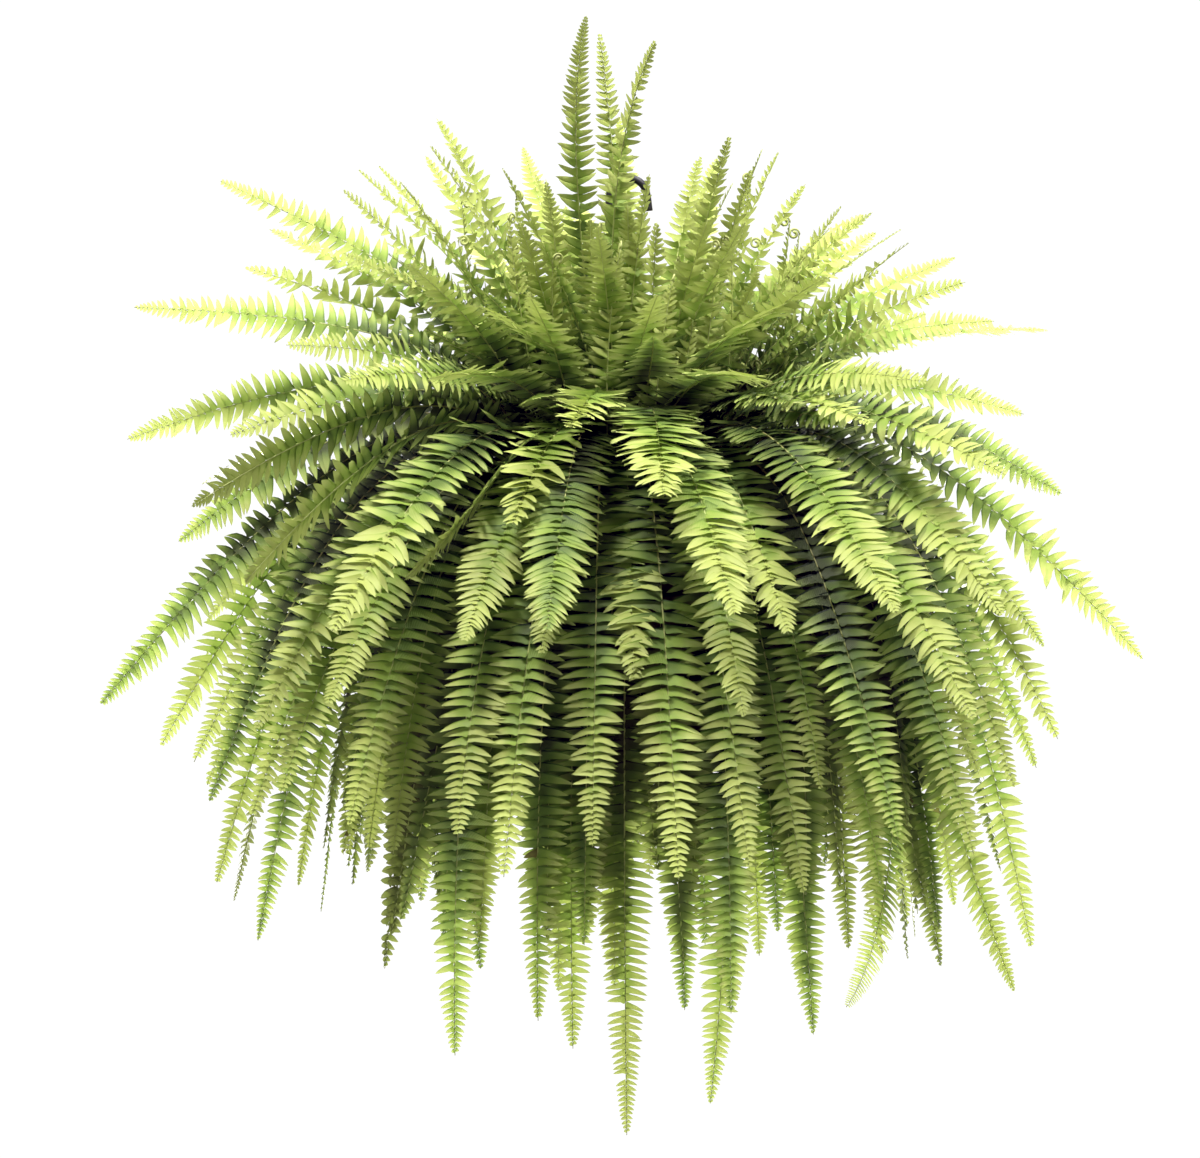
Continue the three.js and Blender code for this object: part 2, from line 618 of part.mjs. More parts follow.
// A frond's stations along its rib, and a leaflet on each side of every stretch between leafy stations.
function layOutFrond(frond) {
  const { path, length } = frond;
  const end = (path.length - 1) * PATH_STEP - TIP_LENGTH;
  const pairs = Math.round((end - BARE_LENGTH) / LEAFLET_PITCH);
  const stalk = range(Math.floor(BARE_LENGTH / STALK_STEP)).map((i) => i * STALK_STEP);
  const leafy = range(pairs + 1).map((i) => lerp(BARE_LENGTH, end, (i / pairs) ** PITCH_GROWTH));
  const stations = [...stalk, ...leafy].map((along) => ribAt(path, along));
  const leaflets = range(pairs).flatMap((i) => {
    const from = stalk.length + i;
    const middle = ribAt(path, (stations[from].along + stations[from + 1].along) / 2);
    const size = Math.max(leafletLength(middle.along, frond), SHORTEST_LEAFLET);
    return [1, -1].map((hand) => ({ from, hand, middle, size, share: 0 }));
  });
  return { stations, leaflets, length, tip: path[path.length - 1].point };
}

function leafletApex({ middle, size, hand }, share, extra = 0) {
  const lean = degToRad(LEAFLET_LEAN);
  const droop = degToRad(LEAFLET_DROOP);
  const reach = size * share + extra;
  return middle.point
    .clone()
    .addScaledVector(middle.side, hand * reach * Math.cos(lean) * Math.cos(droop))
    .addScaledVector(middle.ahead, reach * Math.sin(lean))
    .addScaledVector(middle.up, -reach * Math.sin(droop));
}

// The four faces of a leaflet, stouter than the real one for testing.
function leafletFaces(frond, leaflet, share) {
  const edge = leaflet.hand > 0 ? 0 : 1;
  const near = ribCorners(frond.stations[leaflet.from], frond.length, TEST_STOUTNESS);
  const far = ribCorners(frond.stations[leaflet.from + 1], frond.length, TEST_STOUTNESS);
  const apex = leafletApex(leaflet, share, TEST_REACH);
  return [
    [near[edge], far[edge], apex],
    [far[edge], far[2], apex],
    [far[2], near[2], apex],
    [near[2], near[edge], apex],
  ];
}

function ribFaces(frond, from) {
  const near = ribCorners(frond.stations[from], frond.length, TEST_STOUTNESS);
  const after = frond.stations[from + 1];
  const far = after ? ribCorners(after, frond.length, TEST_STOUTNESS) : [frond.tip, frond.tip, frond.tip];
  return range(3).flatMap((i) => {
    const j = (i + 1) % 3;
    return after ? [[near[i], near[j], far[j]], [near[i], far[j], far[i]]] : [[near[i], near[j], far[j]]];
  });
}

// Faces kept in a grid of cells, so that only near ones are compared.
const ray = new THREE.Ray();
const hit = vector(0, 0, 0);

function edgeCrosses(from, to, face) {
  ray.origin.copy(from);
  ray.direction.subVectors(to, from);
  const length = ray.direction.length();
  ray.direction.divideScalar(length);
  return ray.intersectTriangle(...face, false, hit) !== null && hit.distanceTo(from) <= length;
}

function facesCross(a, b) {
  const edges = (face) => [[face[0], face[1]], [face[1], face[2]], [face[2], face[0]]];
  return edges(a).some(([p, q]) => edgeCrosses(p, q, b)) || edges(b).some(([p, q]) => edgeCrosses(p, q, a));
}

class FaceGrid {
  cells = new Map();

  boxOf(faces) {
    return new THREE.Box3().setFromPoints(faces.flat());
  }

  keysOf(box) {
    const keys = [];
    const low = box.min.clone().divideScalar(CELL).floor();
    const high = box.max.clone().divideScalar(CELL).floor();
    for (let x = low.x; x <= high.x; x++)
      for (let y = low.y; y <= high.y; y++) for (let z = low.z; z <= high.z; z++) keys.push(`${x},${y},${z}`);
    return keys;
  }

  add(faces, owner) {
    const entry = { faces, owner, box: this.boxOf(faces) };
    for (const key of this.keysOf(entry.box)) {
      if (!this.cells.has(key)) this.cells.set(key, []);
      this.cells.get(key).push(entry);
    }
  }

  touches(faces, owner) {
    const box = this.boxOf(faces);
    const near = new Set(this.keysOf(box).flatMap((key) => this.cells.get(key) ?? []));
    return [...near].some(
      (entry) =>
        entry.owner !== owner &&
        entry.box.intersectsBox(box) &&
        entry.faces.some((face) => faces.some((own) => facesCross(face, own))),
    );
  }
}

function facesOfSolid(solid) {
  const { vertProperties, triVerts } = solid.getMesh();
  const corner = (i) => new THREE.Vector3().fromArray(vertProperties, 3 * triVerts[i]);
  return range(triVerts.length / 3).map((i) => [corner(3 * i), corner(3 * i + 1), corner(3 * i + 2)]);
}

// Gives each leaflet the largest share of its length that keeps it clear of other crowns and of the basket.
function fitLeaflets(crowns, obstacles) {
  const grid = new FaceGrid();
  for (const solid of obstacles) for (const face of facesOfSolid(solid)) grid.add([face], "basket");
  for (const crown of crowns) {
    crown.laidOut = crown.fronds.map(layOutFrond);
    for (const frond of crown.laidOut) frond.stations.forEach((_, i) => grid.add(ribFaces(frond, i), frond));
  }
  for (const crown of crowns) {
    for (const frond of crown.laidOut) {
      for (const leaflet of frond.leaflets) {
        const fits = (share) => !grid.touches(leafletFaces(frond, leaflet, share), frond);
        leaflet.share = SHARES_TRIED.find(fits) ?? 0;
        if (leaflet.share) grid.add(leafletFaces(frond, leaflet, leaflet.share), frond);
      }
    }
  }
}

// One closed solid: the rib as a three-sided bar that ends in a point, with a pyramid for each leaflet.
function frondSolid({ stations, leaflets, length, tip }) {
  const points = stations.flatMap((station) => ribCorners(station, length));
  const [left, right, keel] = range(3);
  const corner = (station, which) => 3 * station + which;
  const triangles = [corner(0, left), corner(0, keel), corner(0, right)];
  const quad = (a, b, c, d) => triangles.push(a, b, c, a, c, d);
  const wall = (from, a, b) => {
    const hand = a === keel ? 1 : -1;
    const leaflet = leaflets.find((one) => one.from === from && one.share && one.hand === hand);
    const ring = [corner(from, a), corner(from, b), corner(from + 1, b), corner(from + 1, a)];
    if (!leaflet) return quad(...ring);
    points.push(leafletApex(leaflet, leaflet.share));
    ring.forEach((p, i) => triangles.push(p, ring[(i + 1) % 4], points.length - 1));
  };
  range(stations.length - 1).forEach((from) => {
    quad(corner(from, left), corner(from, right), corner(from + 1, right), corner(from + 1, left));
    wall(from, keel, left);
    wall(from, right, keel);
  });
  points.push(tip);
  const last = stations.length - 1;
  for (const [a, b] of [[left, right], [right, keel], [keel, left]]) {
    triangles.push(corner(last, a), corner(last, b), points.length - 1);
  }
  return solidFromTriangles(points, triangles);
}

// A crown's rootstock with its fronds, as one solid.
function crownSolid({ place, laidOut }) {
  const profile = [
    [0, SOIL_Z - CROWN_DEPTH],
    [CROWN_RADIUS, SOIL_Z - CROWN_DEPTH],
    [CROWN_RADIUS, SOIL_Z + CROWN_SHOULDER],
    [0, SOIL_Z + CROWN_TOP],
  ];
  const stock = turned(profile, CROWN_SIDES).translate([place.x, place.y, 0]);
  return laidOut.reduce((whole, frond) => whole.add(frondSolid(frond)), stock);
}

const crowns = growCrowns();
const pot = makePot();
const hook = makeHook();
const strands = STRAND_AZIMUTHS.map(makeStrand);
const soil = makeSoil(crowns);
const eyeBox = new THREE.BoxGeometry(...EYE_CLEAR_SIZE).translate(0, 0, -EYE_CLEAR_SIZE[2] / 2);
const eye = solidFromGeometry(eyeBox);
fitLeaflets(crowns, [pot, soil, hook, ...strands, eye]);

const basket = new THREE.Group();
basket.add(meshFromSolid("pot", pot, POT_PLASTIC));
basket.add(meshFromSolid("soil", soil, POTTING_SOIL));
const hanger = new THREE.Group();
hanger.add(meshFromSolid("hook", hook, HANGER_PLASTIC));
strands.forEach((strand, i) => hanger.add(meshFromSolid(`strand_${i + 1}`, strand, HANGER_PLASTIC)));
const plant = new THREE.Group();
crowns.forEach((crown, i) => {
  const name = `fronds_${String(i + 1).padStart(2, "0")}`;
  plant.add(meshFromSolid(name, crownSolid(crown), FERN_GREEN, crown.place));
});
const fern = new THREE.Group();
fern.add(basket, hanger, plant);

export default fern;
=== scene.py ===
# The looks of a sword fern in a hanging basket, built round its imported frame. Metres, in the frame's own
# axes: the origin is under the arch of the hook, +Z is up and -Y is towards the viewer.
import math

import bpy
import numpy as np
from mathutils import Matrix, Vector


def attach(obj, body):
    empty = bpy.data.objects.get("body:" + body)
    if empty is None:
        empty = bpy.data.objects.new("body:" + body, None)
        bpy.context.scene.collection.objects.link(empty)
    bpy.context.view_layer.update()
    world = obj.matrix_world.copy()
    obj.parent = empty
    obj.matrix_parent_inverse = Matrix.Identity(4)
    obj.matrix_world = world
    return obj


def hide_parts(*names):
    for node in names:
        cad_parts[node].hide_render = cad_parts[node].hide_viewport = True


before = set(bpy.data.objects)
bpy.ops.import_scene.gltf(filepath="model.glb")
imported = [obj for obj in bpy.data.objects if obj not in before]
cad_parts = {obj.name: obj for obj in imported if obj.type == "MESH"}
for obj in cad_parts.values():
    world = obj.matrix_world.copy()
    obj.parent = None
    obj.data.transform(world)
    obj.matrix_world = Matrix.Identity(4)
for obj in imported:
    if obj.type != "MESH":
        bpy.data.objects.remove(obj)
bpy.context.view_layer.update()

MM = 0.001
rng = np.random.default_rng(53)

# The camera stands as the photograph's does: level with the plant's middle and a little above it.
AIM = Vector((-0.0224, 0.0, -0.316))
CAMERA_DISTANCE = 3.0
CAMERA_ELEVATION = 5.0
CAMERA_LENS = 112.5
CAMERA_SENSOR = 36.0
FLOOR_Z = -2.0
FLOOR_SIZE = 60.0
FLOOR_FADE = (1.5, 4.5)

# How strongly the sky lights the plant, and the plain white that the camera sees in its place.
SKY_LIGHT = 0.26
WHITE = 1.05
BLACK_LEVEL = (0.003, 0.005, -0.001)
# Round lamps that face the plant: name, place, diameter, power and colour.
LAMPS = (
    ("key", (-0.5, -0.7, 1.8), 0.35, 75, (1.0, 0.98, 0.93)),
    ("second", (0.9, -0.6, 1.5), 0.5, 47, (1.0, 0.99, 0.95)),
    ("rim", (0.2, 1.3, 1.1), 0.9, 15, (1.0, 0.99, 0.93)),
    ("low_rim", (0.0, 2.4, -1.5), 1.2, 210, (1.0, 0.99, 0.93)),
)

# The basket, as in the solids (millimetres here, as all the plant's growth is).
POT_RADIUS = 127.0
BASE_RADIUS = 92.0
POT_WALL = 2.4
LIP_WIDTH = 10.0
LIP_THICKNESS = 3.0
LIP_SKIRT = 9.0
FOOT_HEIGHT = 5.0
FOOT_WIDTH = 8.0
DRAIN_RADIUS = 6.0
DRAIN_RING = 52.0
DRAIN_COUNT = 6
HOLE_MARGIN = 2.0
POT_STEPS = 120
POT_ROUNDING = 1.6
RIM_Z = -252.0
POT_HEIGHT = 178.0
SOIL_Z = RIM_Z - 12.0
POT_BASE_Z = RIM_Z - POT_HEIGHT
POT_FLOOR_Z = POT_BASE_Z + FOOT_HEIGHT
LIP_RADIUS = POT_RADIUS + LIP_WIDTH
GAP = 0.35
SHARP_ANGLE = 35

# The soil: how many rings its top has, and the crumbs and perlite on it, turned from one outline.
SOIL_RINGS = 26
SOIL_STEPS = 96
LUMP_COUNT = 420
LUMP_RADII = (0.7, 2.1)
LUMP_OUTLINE = ((0, -1), (0.8, -0.5), (1, 0.3), (0.5, 0.9), (0, 1))

# The hanger.
EYE_RADIUS = 12.0
ROD_RADIUS = 3.0
EYE_ARC = (0, 30, 60, 90, 120, 150, 180)
HOOK_FREE_END = (16.5, -23.0)
HOOK_LEG = ((-14.5, -26.0), (-10.0, -40.0), (-3.0, -52.0), (0.0, -64.0), (0.0, -72.0))
HUB_TOP_Z = -58.0
HUB_RADIUS = 5.6
HUB_SHOULDER = 5.0
NECK_RADIUS = 3.2
NECK_HEIGHT = 6.0
DISC_TOP_Z = -90.0
DISC_THICKNESS = 4.0
DISC_RADIUS = 11.0
STRAND_RADIUS = 1.7
HOLE_RADIUS = 2.4
STRAND_RING = 6.6
RIM_RING = LIP_RADIUS - 7.0
STRAND_AZIMUTHS = (90, 210, 330)
STRAND_STUB = 1.0
STRAND_DROP = 4.0
BUTTON_RADIUS = 3.3
BUTTON_HEIGHT = 3.0

# How a frond's rib grows, as in the solids: tables from the lowest skirt (tier 0) to the upright middle
# (tier 1), and on to the youngest that stand up near the rim (tier 1.2).
TIER_STEPS = 5
FOOT_DISTANCE = (90, 80, 66, 58, 52, 32, 88)
RISE_ANGLE = (66, 70, 74, 76, 78, 87, 66)
FALL_ANGLE = (-88, -79, -58, -18, 24, 78, 86)
TURN_LENGTH = (56, 80, 100, 116, 132, 200, 90)
TURN_SHARPNESS = 2.2
ROLL_POWER = 0.8
PATH_STEP = 5.0
TAPER_SHARE = (0.6, 0.5, 0.3, 0.34, 0.45, 0.6, 0.6)
TAPER_POWER = 0.6
CROWN_COUNT = 52
CROWN_SPREAD = 94.0
CROWN_TURN = 137.508
CROWN_RADIUS = 6.5
CROWN_DEPTH = 14.0
CROWN_OUTLINE = ((0, -CROWN_DEPTH), (4.6, -CROWN_DEPTH), (6.2, -4), (5.8, 2), (3.6, 6), (0, 8))
CROWN_SCALES = 26
RIB_CLEARANCE = 6.0
TURNS_TRIED = (0, 2, -2, 4, -4, 6, -6, 8, -8, 10, -10, 13, -13, 16, -16, 20, -20, 25, -25)
CROWNS_TRIED = 7
CROWN_REACH = 60.0
FOOT_SHARE = 0.4
STRAND_STEPS = 40
LIP_POINTS = 90

# The fronds that show from the front: azimuth, tier, length, sideways bow, roll at tip, longest leaflets.
FRONT_FRONDS = (
    # The skirt that hangs round the pot.
    (268, 0.06, 580, 1, 4, 31),
    (259, 0.02, 505, 2, -10, 36),
    (252, 0.1, 505, 4, 15, 36),
    (241, 0.13, 545, 7, -20, 37),
    (289, 0.05, 555, -9, 20, 34),
    (302, 0.08, 518, 0, 20, 36),
    (339, 0.05, 572, -80, 45, 29),
    (333, 0.15, 555, 28, 40, 33),
    (190, 0.22, 492, 0, -50, 33),
    (201, 0.17, 498, 3, -40, 33),
    (233, 0.03, 455, 12, -25, 36),
    (264, 0.0, 425, 0, 0, 34),
    (297, 0.02, 440, 0, 10, 34),
    (213, 0.08, 390, 0, -35, 36),
    (331, 0.08, 460, 0, 35, 34),
    (350, 0.1, 460, 0, 50, 34),
    (179, 0.1, 450, 0, -40, 34),
    (225, 0.02, 405, 0, -20, 34),
    (248, 0.0, 415, 0, 0, 33),
    (281, 0.0, 425, 0, 10, 34),
    (314, 0.02, 445, 0, 20, 34),
    (199, 0.04, 390, 0, -30, 34),
    (341, 0.03, 450, 0, 35, 33),
    (237, 0.0, 450, 0, -15, 34),
    (256, 0.01, 465, 2, 0, 34),
    (273, 0.02, 460, 0, 5, 34),
    (287, 0.0, 475, 0, 10, 34),
    (308, 0.02, 475, 0, 20, 34),
    (322, 0.05, 460, 0, 30, 34),
    (246, 0.06, 440, 0, -10, 34),
    (294, 0.08, 440, 0, 10, 34),
    (265, 0.07, 440, 0, 0, 34),
    (206, 0.05, 395, 0, -30, 35),
    (227, 0.0, 430, 0, -20, 33),
    (317, 0.0, 400, 0, 20, 34),
    (302, 0.0, 420, 0, 15, 34),
    (335, 0.1, 500, 8, 35, 34),
    # The long curtain outside it.
    (282, 0.2, 530, -3, 8, 36),
    (277, 0.27, 466, 0, -6, 36),
    (244, 0.27, 440, 6, -12, 36),
    (229, 0.25, 425, 0, -30, 35),
    (306, 0.27, 445, 0, 25, 36),
    (318, 0.26, 458, -4, 30, 34),
    (304, 0.18, 365, 0, 5, 31),
    (345, 0.2, 522, -10, 55, 33),
    (349, 0.3, 415, -4, 45, 33),
    (190, 0.31, 440, 4, -55, 30),
    (228, 0.35, 392, 0, -20, 31),
    (236, 0.2, 425, 3, -20, 34),
    (252, 0.22, 440, 0, -10, 34),
    (268, 0.24, 425, 0, 5, 34),
    (290, 0.24, 445, 0, 10, 34),
    (298, 0.22, 460, 0, 15, 34),
    (311, 0.2, 455, 0, 25, 34),
    (326, 0.26, 415, 0, 30, 34),
    (338, 0.26, 410, 0, 40, 33),
    (220, 0.28, 425, 0, -35, 33),
    (208, 0.26, 440, 0, -40, 33),
    (198, 0.26, 435, 0, -50, 33),
    (2, 0.26, 425, 0, 50, 33),
    (178, 0.26, 440, 0, -50, 32),
    # The arches that fall across the curtain.
    (262, 0.4, 350, 0, -8, 31),
    (272, 0.33, 350, 0, 5, 33),
    (284, 0.35, 388, 0, 5, 31),
    (284, 0.44, 376, 0, 0, 31),
    (300, 0.44, 378, 0, 20, 30),
    (314, 0.38, 425, 0, 30, 30),
    (234, 0.42, 374, 0, -28, 31),
    (216, 0.36, 424, 0, -40, 30),
    (185, 0.34, 456, 3, -60, 31),
    (183, 0.42, 492, 3, -55, 30),
    (358, 0.43, 458, 0, 50, 28),
    (221, 0.45, 372, 0, 70, 28),
    (328, 0.52, 340, 0, 40, 28),
    (253, 0.4, 318, -34, 75, 28),
    (256, 0.34, 335, 0, -10, 30),
    (292, 0.38, 345, 0, 10, 30),
    (323, 0.4, 350, 0, 35, 28),
    (244, 0.38, 350, 0, -20, 30),
    (352, 0.36, 368, 0, 50, 28),
    (172, 0.38, 375, 0, -50, 28),
    # The ones that reach level, over the rim.
    (272, 0.5, 322, 0, 0, 36),
    (261, 0.55, 292, 0, -10, 28),
    (254, 0.46, 312, 0, -5, 30),
    (206, 0.5, 358, 0, 78, 28),
    (178, 0.46, 364, 0, -55, 30),
    (198, 0.55, 335, 0, -55, 28),
    (180, 0.56, 390, 0, -75, 24),
    (354, 0.48, 325, 0, 60, 25),
    (4, 0.56, 325, 0, 60, 22),
    (340, 0.58, 235, 0, 50, 24),
    (222, 0.6, 295, 0, -45, 26),
    (320, 0.6, 268, 0, 45, 26),
    (312, 0.55, 292, 0, 15, 29),
    (239, 0.6, 270, 0, 20, 28),
    (292, 0.6, 285, 0, -15, 28),
    # The ones that reach up and out.
    (182, 0.67, 408, 0, -65, 28),
    (207, 0.64, 290, 0, -60, 25),
    (177, 0.78, 412, 0, -60, 27),
    (165, 0.76, 350, 0, -40, 24),
    (354, 0.72, 296, 0, 60, 25),
    (5, 0.66, 328, 0, 65, 24),
    (30, 0.79, 305, 0, 40, 27),
    (338, 0.77, 260, 0, 50, 27),
    (203, 0.83, 315, 0, -50, 28),
    (326, 0.83, 268, 0, 30, 25),
    (240, 0.7, 270, 0, -20, 27),
    (299, 0.7, 280, 0, 20, 27),
    (212, 0.74, 298, 0, -30, 28),
    (228, 0.78, 265, 0, 25, 27),
    (313, 0.74, 280, 0, -20, 27),
    (188, 0.76, 300, 0, -50, 25),
    (346, 0.7, 240, 0, 45, 24),
    (280, 0.74, 245, 0, 15, 27),
    (256, 0.74, 242, 0, -15, 27),
    # The young upright middle.
    (200, 0.88, 325, 0, -40, 28),
    (155, 0.9, 346, 0, -20, 28),
    (213, 0.97, 415, 42, 58, 23),
    (250, 1.0, 380, -4, 30, 24),
    (226, 0.99, 392, 42, 0, 24),
    (321, 0.93, 312, -8, -10, 26),
    (314, 0.86, 210, 0, 0, 22),
    (238, 0.96, 268, 0, 0, 24),
    (262, 0.84, 265, 0, 0, 25),
    (292, 0.86, 262, 0, 0, 25),
    (222, 0.88, 300, 0, -20, 26),
    (302, 0.9, 292, 0, 15, 26),
    (326, 0.9, 282, 0, 30, 25),
    (250, 0.9, 248, 10, 40, 24),
    (186, 0.92, 290, 0, -25, 25),
    (276, 0.92, 240, 0, -30, 23),
    (356, 0.82, 298, -10, 35, 27),
    (90, 0.9, 310, 0, 0, 26),
    (62, 0.88, 318, 0, 20, 26),
    (120, 0.9, 318, 0, -20, 26),
    (240, 0.88, 250, 0, 10, 25),
    (268, 0.9, 262, 0, -25, 24),
    (284, 0.95, 275, 5, 30, 24),
    (304, 0.84, 268, 0, 10, 26),
    (342, 0.87, 270, 0, 35, 26),
    (214, 0.8, 265, 0, -20, 28),
    (20, 0.88, 290, 0, 20, 26),
    (150, 0.88, 318, 0, -25, 26),
    (192, 0.84, 330, 0, -30, 27),
    (214, 0.86, 300, 0, -20, 27),
    (168, 0.72, 335, 0, -40, 26),
    (22, 0.74, 318, 0, 40, 26),
    (331, 0.8, 280, 0, 20, 26),
    (38, 0.8, 325, 0, 30, 26),
    (350, 0.8, 300, 0, 10, 25),
    (75, 0.84, 320, 0, 0, 26),
    (338, 0.94, 300, 0, 10, 25),
    (105, 0.95, 330, 0, 10, 25),
    (175, 0.86, 320, 0, -20, 26),
    # The youngest, which stand up from all over the soil.
    (350, 1.2, 232, 0, 20, 22),
    (335, 1.15, 190, 0, -20, 22),
    (318, 1.15, 178, 0, 10, 22),
    (300, 1.1, 165, 0, -10, 20),
    (280, 1.1, 150, 0, 15, 18),
    (262, 1.1, 145, 0, -15, 18),
    (245, 1.15, 190, 0, 10, 20),
    (225, 1.2, 222, 0, -20, 22),
    (218, 1.15, 240, 0, 20, 22),
    (10, 1.2, 238, 0, 10, 22),
    (40, 1.15, 275, 0, 0, 22),
    (170, 1.2, 255, 0, 0, 22),
    (130, 1.15, 260, 0, 0, 22),
)

# The fronds at the back follow the same tiers by rule: tier, how many, first and last azimuth, length and
# longest leaflets.
BACK_TIERS = (
    (0.03, 12, 10, 170, 470, 36),
    (0.18, 9, 8, 170, 490, 34),
    (0.36, 8, 20, 166, 425, 32),
    (0.5, 8, 18, 162, 390, 31),
    (0.64, 8, 26, 156, 350, 28),
    (0.78, 5, 48, 146, 340, 28),
    (0.91, 4, 32, 128, 285, 24),
)
BACK_SEED = 4127
# How much their azimuth, tier, share of length, bow and roll vary.
BACK_SPREADS = (8.0, 0.04, 0.16, 16.0, 36.0)

# Leaflets: sickle-shaped blades with an ear at the base, a fold along the middle and a slight twist. They
# stand closer than in the solids, and start nearer the foot of a frond.
PITCH = 0.272
YOUNG_PITCH = 0.46
OLD_PITCH = 0.34
SMALL_PITCH = 0.28
LEAST_PITCH = 3.2
WIDTH_SHARE = 0.84
LEAST_LEAFLET = 1.6
BARE_TIP = 1.5
LEAFLET_OFFSET = 0.3
FULL_DETAIL_FROM = 22.0
BLADE_ROWS = (0.0, 0.06, 0.16, 0.34, 0.56, 0.78, 0.92, 1.0)
PLAIN_BLADE_ROWS = (0.0, 0.07, 0.26, 0.54, 0.82, 1.0)
BLADE_COLUMNS = (-1.0, 0.0, 1.0)
LEAFLETS_FROM = 28.0
FULL_LEAFLET_AT = 100.0
LOST_SHARE = 0.012
DRY_SHARE = 0.004

# How young a frond is follows from its tier: from -0.4, old and dark, to 1, young and yellow.
# Low and old fronds are dark partly from age and partly as painted shade, under the arches and inside the
# plant.
YOUTH_SLOPE = 0.8
YOUTH_AT_SKIRT = -0.24
YOUTH_SPREAD = 0.22
OLDEST = -0.4
YOUNGEST_FROM = 1.05
# Low fronds may be withered. Those of the arch tiers have leaflets that overlap, most towards the front.
LOW_TIERS = 0.12
WITHERED_SHARE = 0.22
WITHERED = (0.2, 0.6)
ARCH_TIERS = (0.28, 0.38, 0.56, 0.66)
SIDE_ARCH = 0.25

# Old fronds in the shade, and short young ones over the soil: how many, first and last azimuth, tiers,
# lengths, longest leaflets, and how withered they are.
INNER_FRONDS = (
    (50, 0, 353, (0.0, 0.14), (360, 470), 36, (0.1, 0.5)),
    (14, 225, 315, (0.0, 0.06), (330, 400), 36, (0.1, 0.4)),
    (28, 0, 347, (0.42, 0.84), (170, 225), 27, (0.0, 0.15)),
)
YOUNG_FRONDS = ((30, 0, 348, (1.06, 1.2), (110, 240), 17, None),)
INNER_TAPER = 0.4
INNER_FOOT = 6.0

# Ribs, the coiled tips of the youngest fronds, and runners.
RIB_RADIUS = 1.25
RIB_TIP_RADIUS = 0.3
RIB_STRIDE = 2
RIB_SIDES = 5
COIL_RADII = (4.6, 1.3)
COIL_TURN = 2.7 * math.pi
COIL_POINTS = 26
COIL_ROD = (0.7, 1.5)
RUNNER_COUNT = 13
RUNNER_LENGTH = (110, 300)
RUNNER_RADII = (0.55, 0.25)
# A direction in which no tube starts.
ASKEW = (0.3, 0.9, 0.2)

# Maps in a mesh: along and across a blade, share of the frond and own tone, youth and dryness.
MAPS = ("blade", "frond", "life")
PATH_KEYS = ("point", "ahead", "side", "up")


# Plain geometry helpers.
def at_azimuth(radius, azimuth, z=0.0):
    angle = math.radians(azimuth)
    return np.array([radius * math.cos(angle), radius * math.sin(angle), z])


def smoothstep(x, low, high):
    t = np.clip((x - low) / (high - low), 0, 1)
    return t * t * (3 - 2 * t)


def unit(v):
    return v / np.linalg.norm(v, axis=-1, keepdims=True)


def add_object(name, data):
    added = bpy.data.objects.new(name, data)
    bpy.context.scene.collection.objects.link(added)
    return added


class Skin:
    """Points and faces of one piece, in millimetres, gathered before its mesh is made."""

    def __init__(self):
        self.points = []
        self.faces = []
        self.slots = []
        self.maps = {name: [] for name in MAPS}
        self.count = 0

    def add(self, points, faces, slot=0, **maps):
        points = np.asarray(points, float).reshape(-1, 3)
        self.points.append(points)
        for name in MAPS:
            values = np.broadcast_to(np.asarray(maps.get(name, (0.0, 0.5)), float), (len(points), 2))
            self.maps[name].append(values)
        for block in faces:
            block = np.asarray(block, int)
            self.faces.append(block + self.count)
            self.slots.append(np.full(len(block), slot))
        self.count += len(points)

    def make(self, name, materials):
        points = np.concatenate(self.points) * MM
        corners = np.concatenate([block.ravel() for block in self.faces])
        sizes = np.concatenate([np.full(len(block), block.shape[1]) for block in self.faces])
        mesh = bpy.data.meshes.new(name)
        mesh.vertices.add(len(points))
        mesh.vertices.foreach_set("co", points.ravel())
        mesh.loops.add(len(corners))
        mesh.loops.foreach_set("vertex_index", corners)
        settings = {
            "loop_start": np.concatenate([[0], np.cumsum(sizes)[:-1]]),
            "loop_total": sizes,
            "material_index": np.concatenate(self.slots),
            "use_smooth": np.full(len(sizes), True),
        }
        mesh.polygons.add(len(sizes))
        for key, values in settings.items():
            mesh.polygons.foreach_set(key, values)
        for map_name in MAPS:
            layer = mesh.uv_layers.new(name=map_name)
            layer.data.foreach_set("uv", np.concatenate(self.maps[map_name])[corners].ravel())
        for material in materials:
            mesh.materials.append(material)
        mesh.update(calc_edges=True)
        mesh.validate()
        return add_object(name, mesh)


def grid_faces(rows, columns, closed=False, flip=False):
    """Quads between neighbouring rows of points."""
    r = np.arange(rows - 1)[:, None]
    c = np.arange(columns if closed else columns - 1)[None, :]
    after = (c + 1) % columns
    corners = (r * columns + c, r * columns + after, (r + 1) * columns + after, (r + 1) * columns + c)
    if flip:
        corners = corners[::-1]
    return np.stack([np.broadcast_to(corner, (rows - 1, c.size)).ravel() for corner in corners], axis=-1)


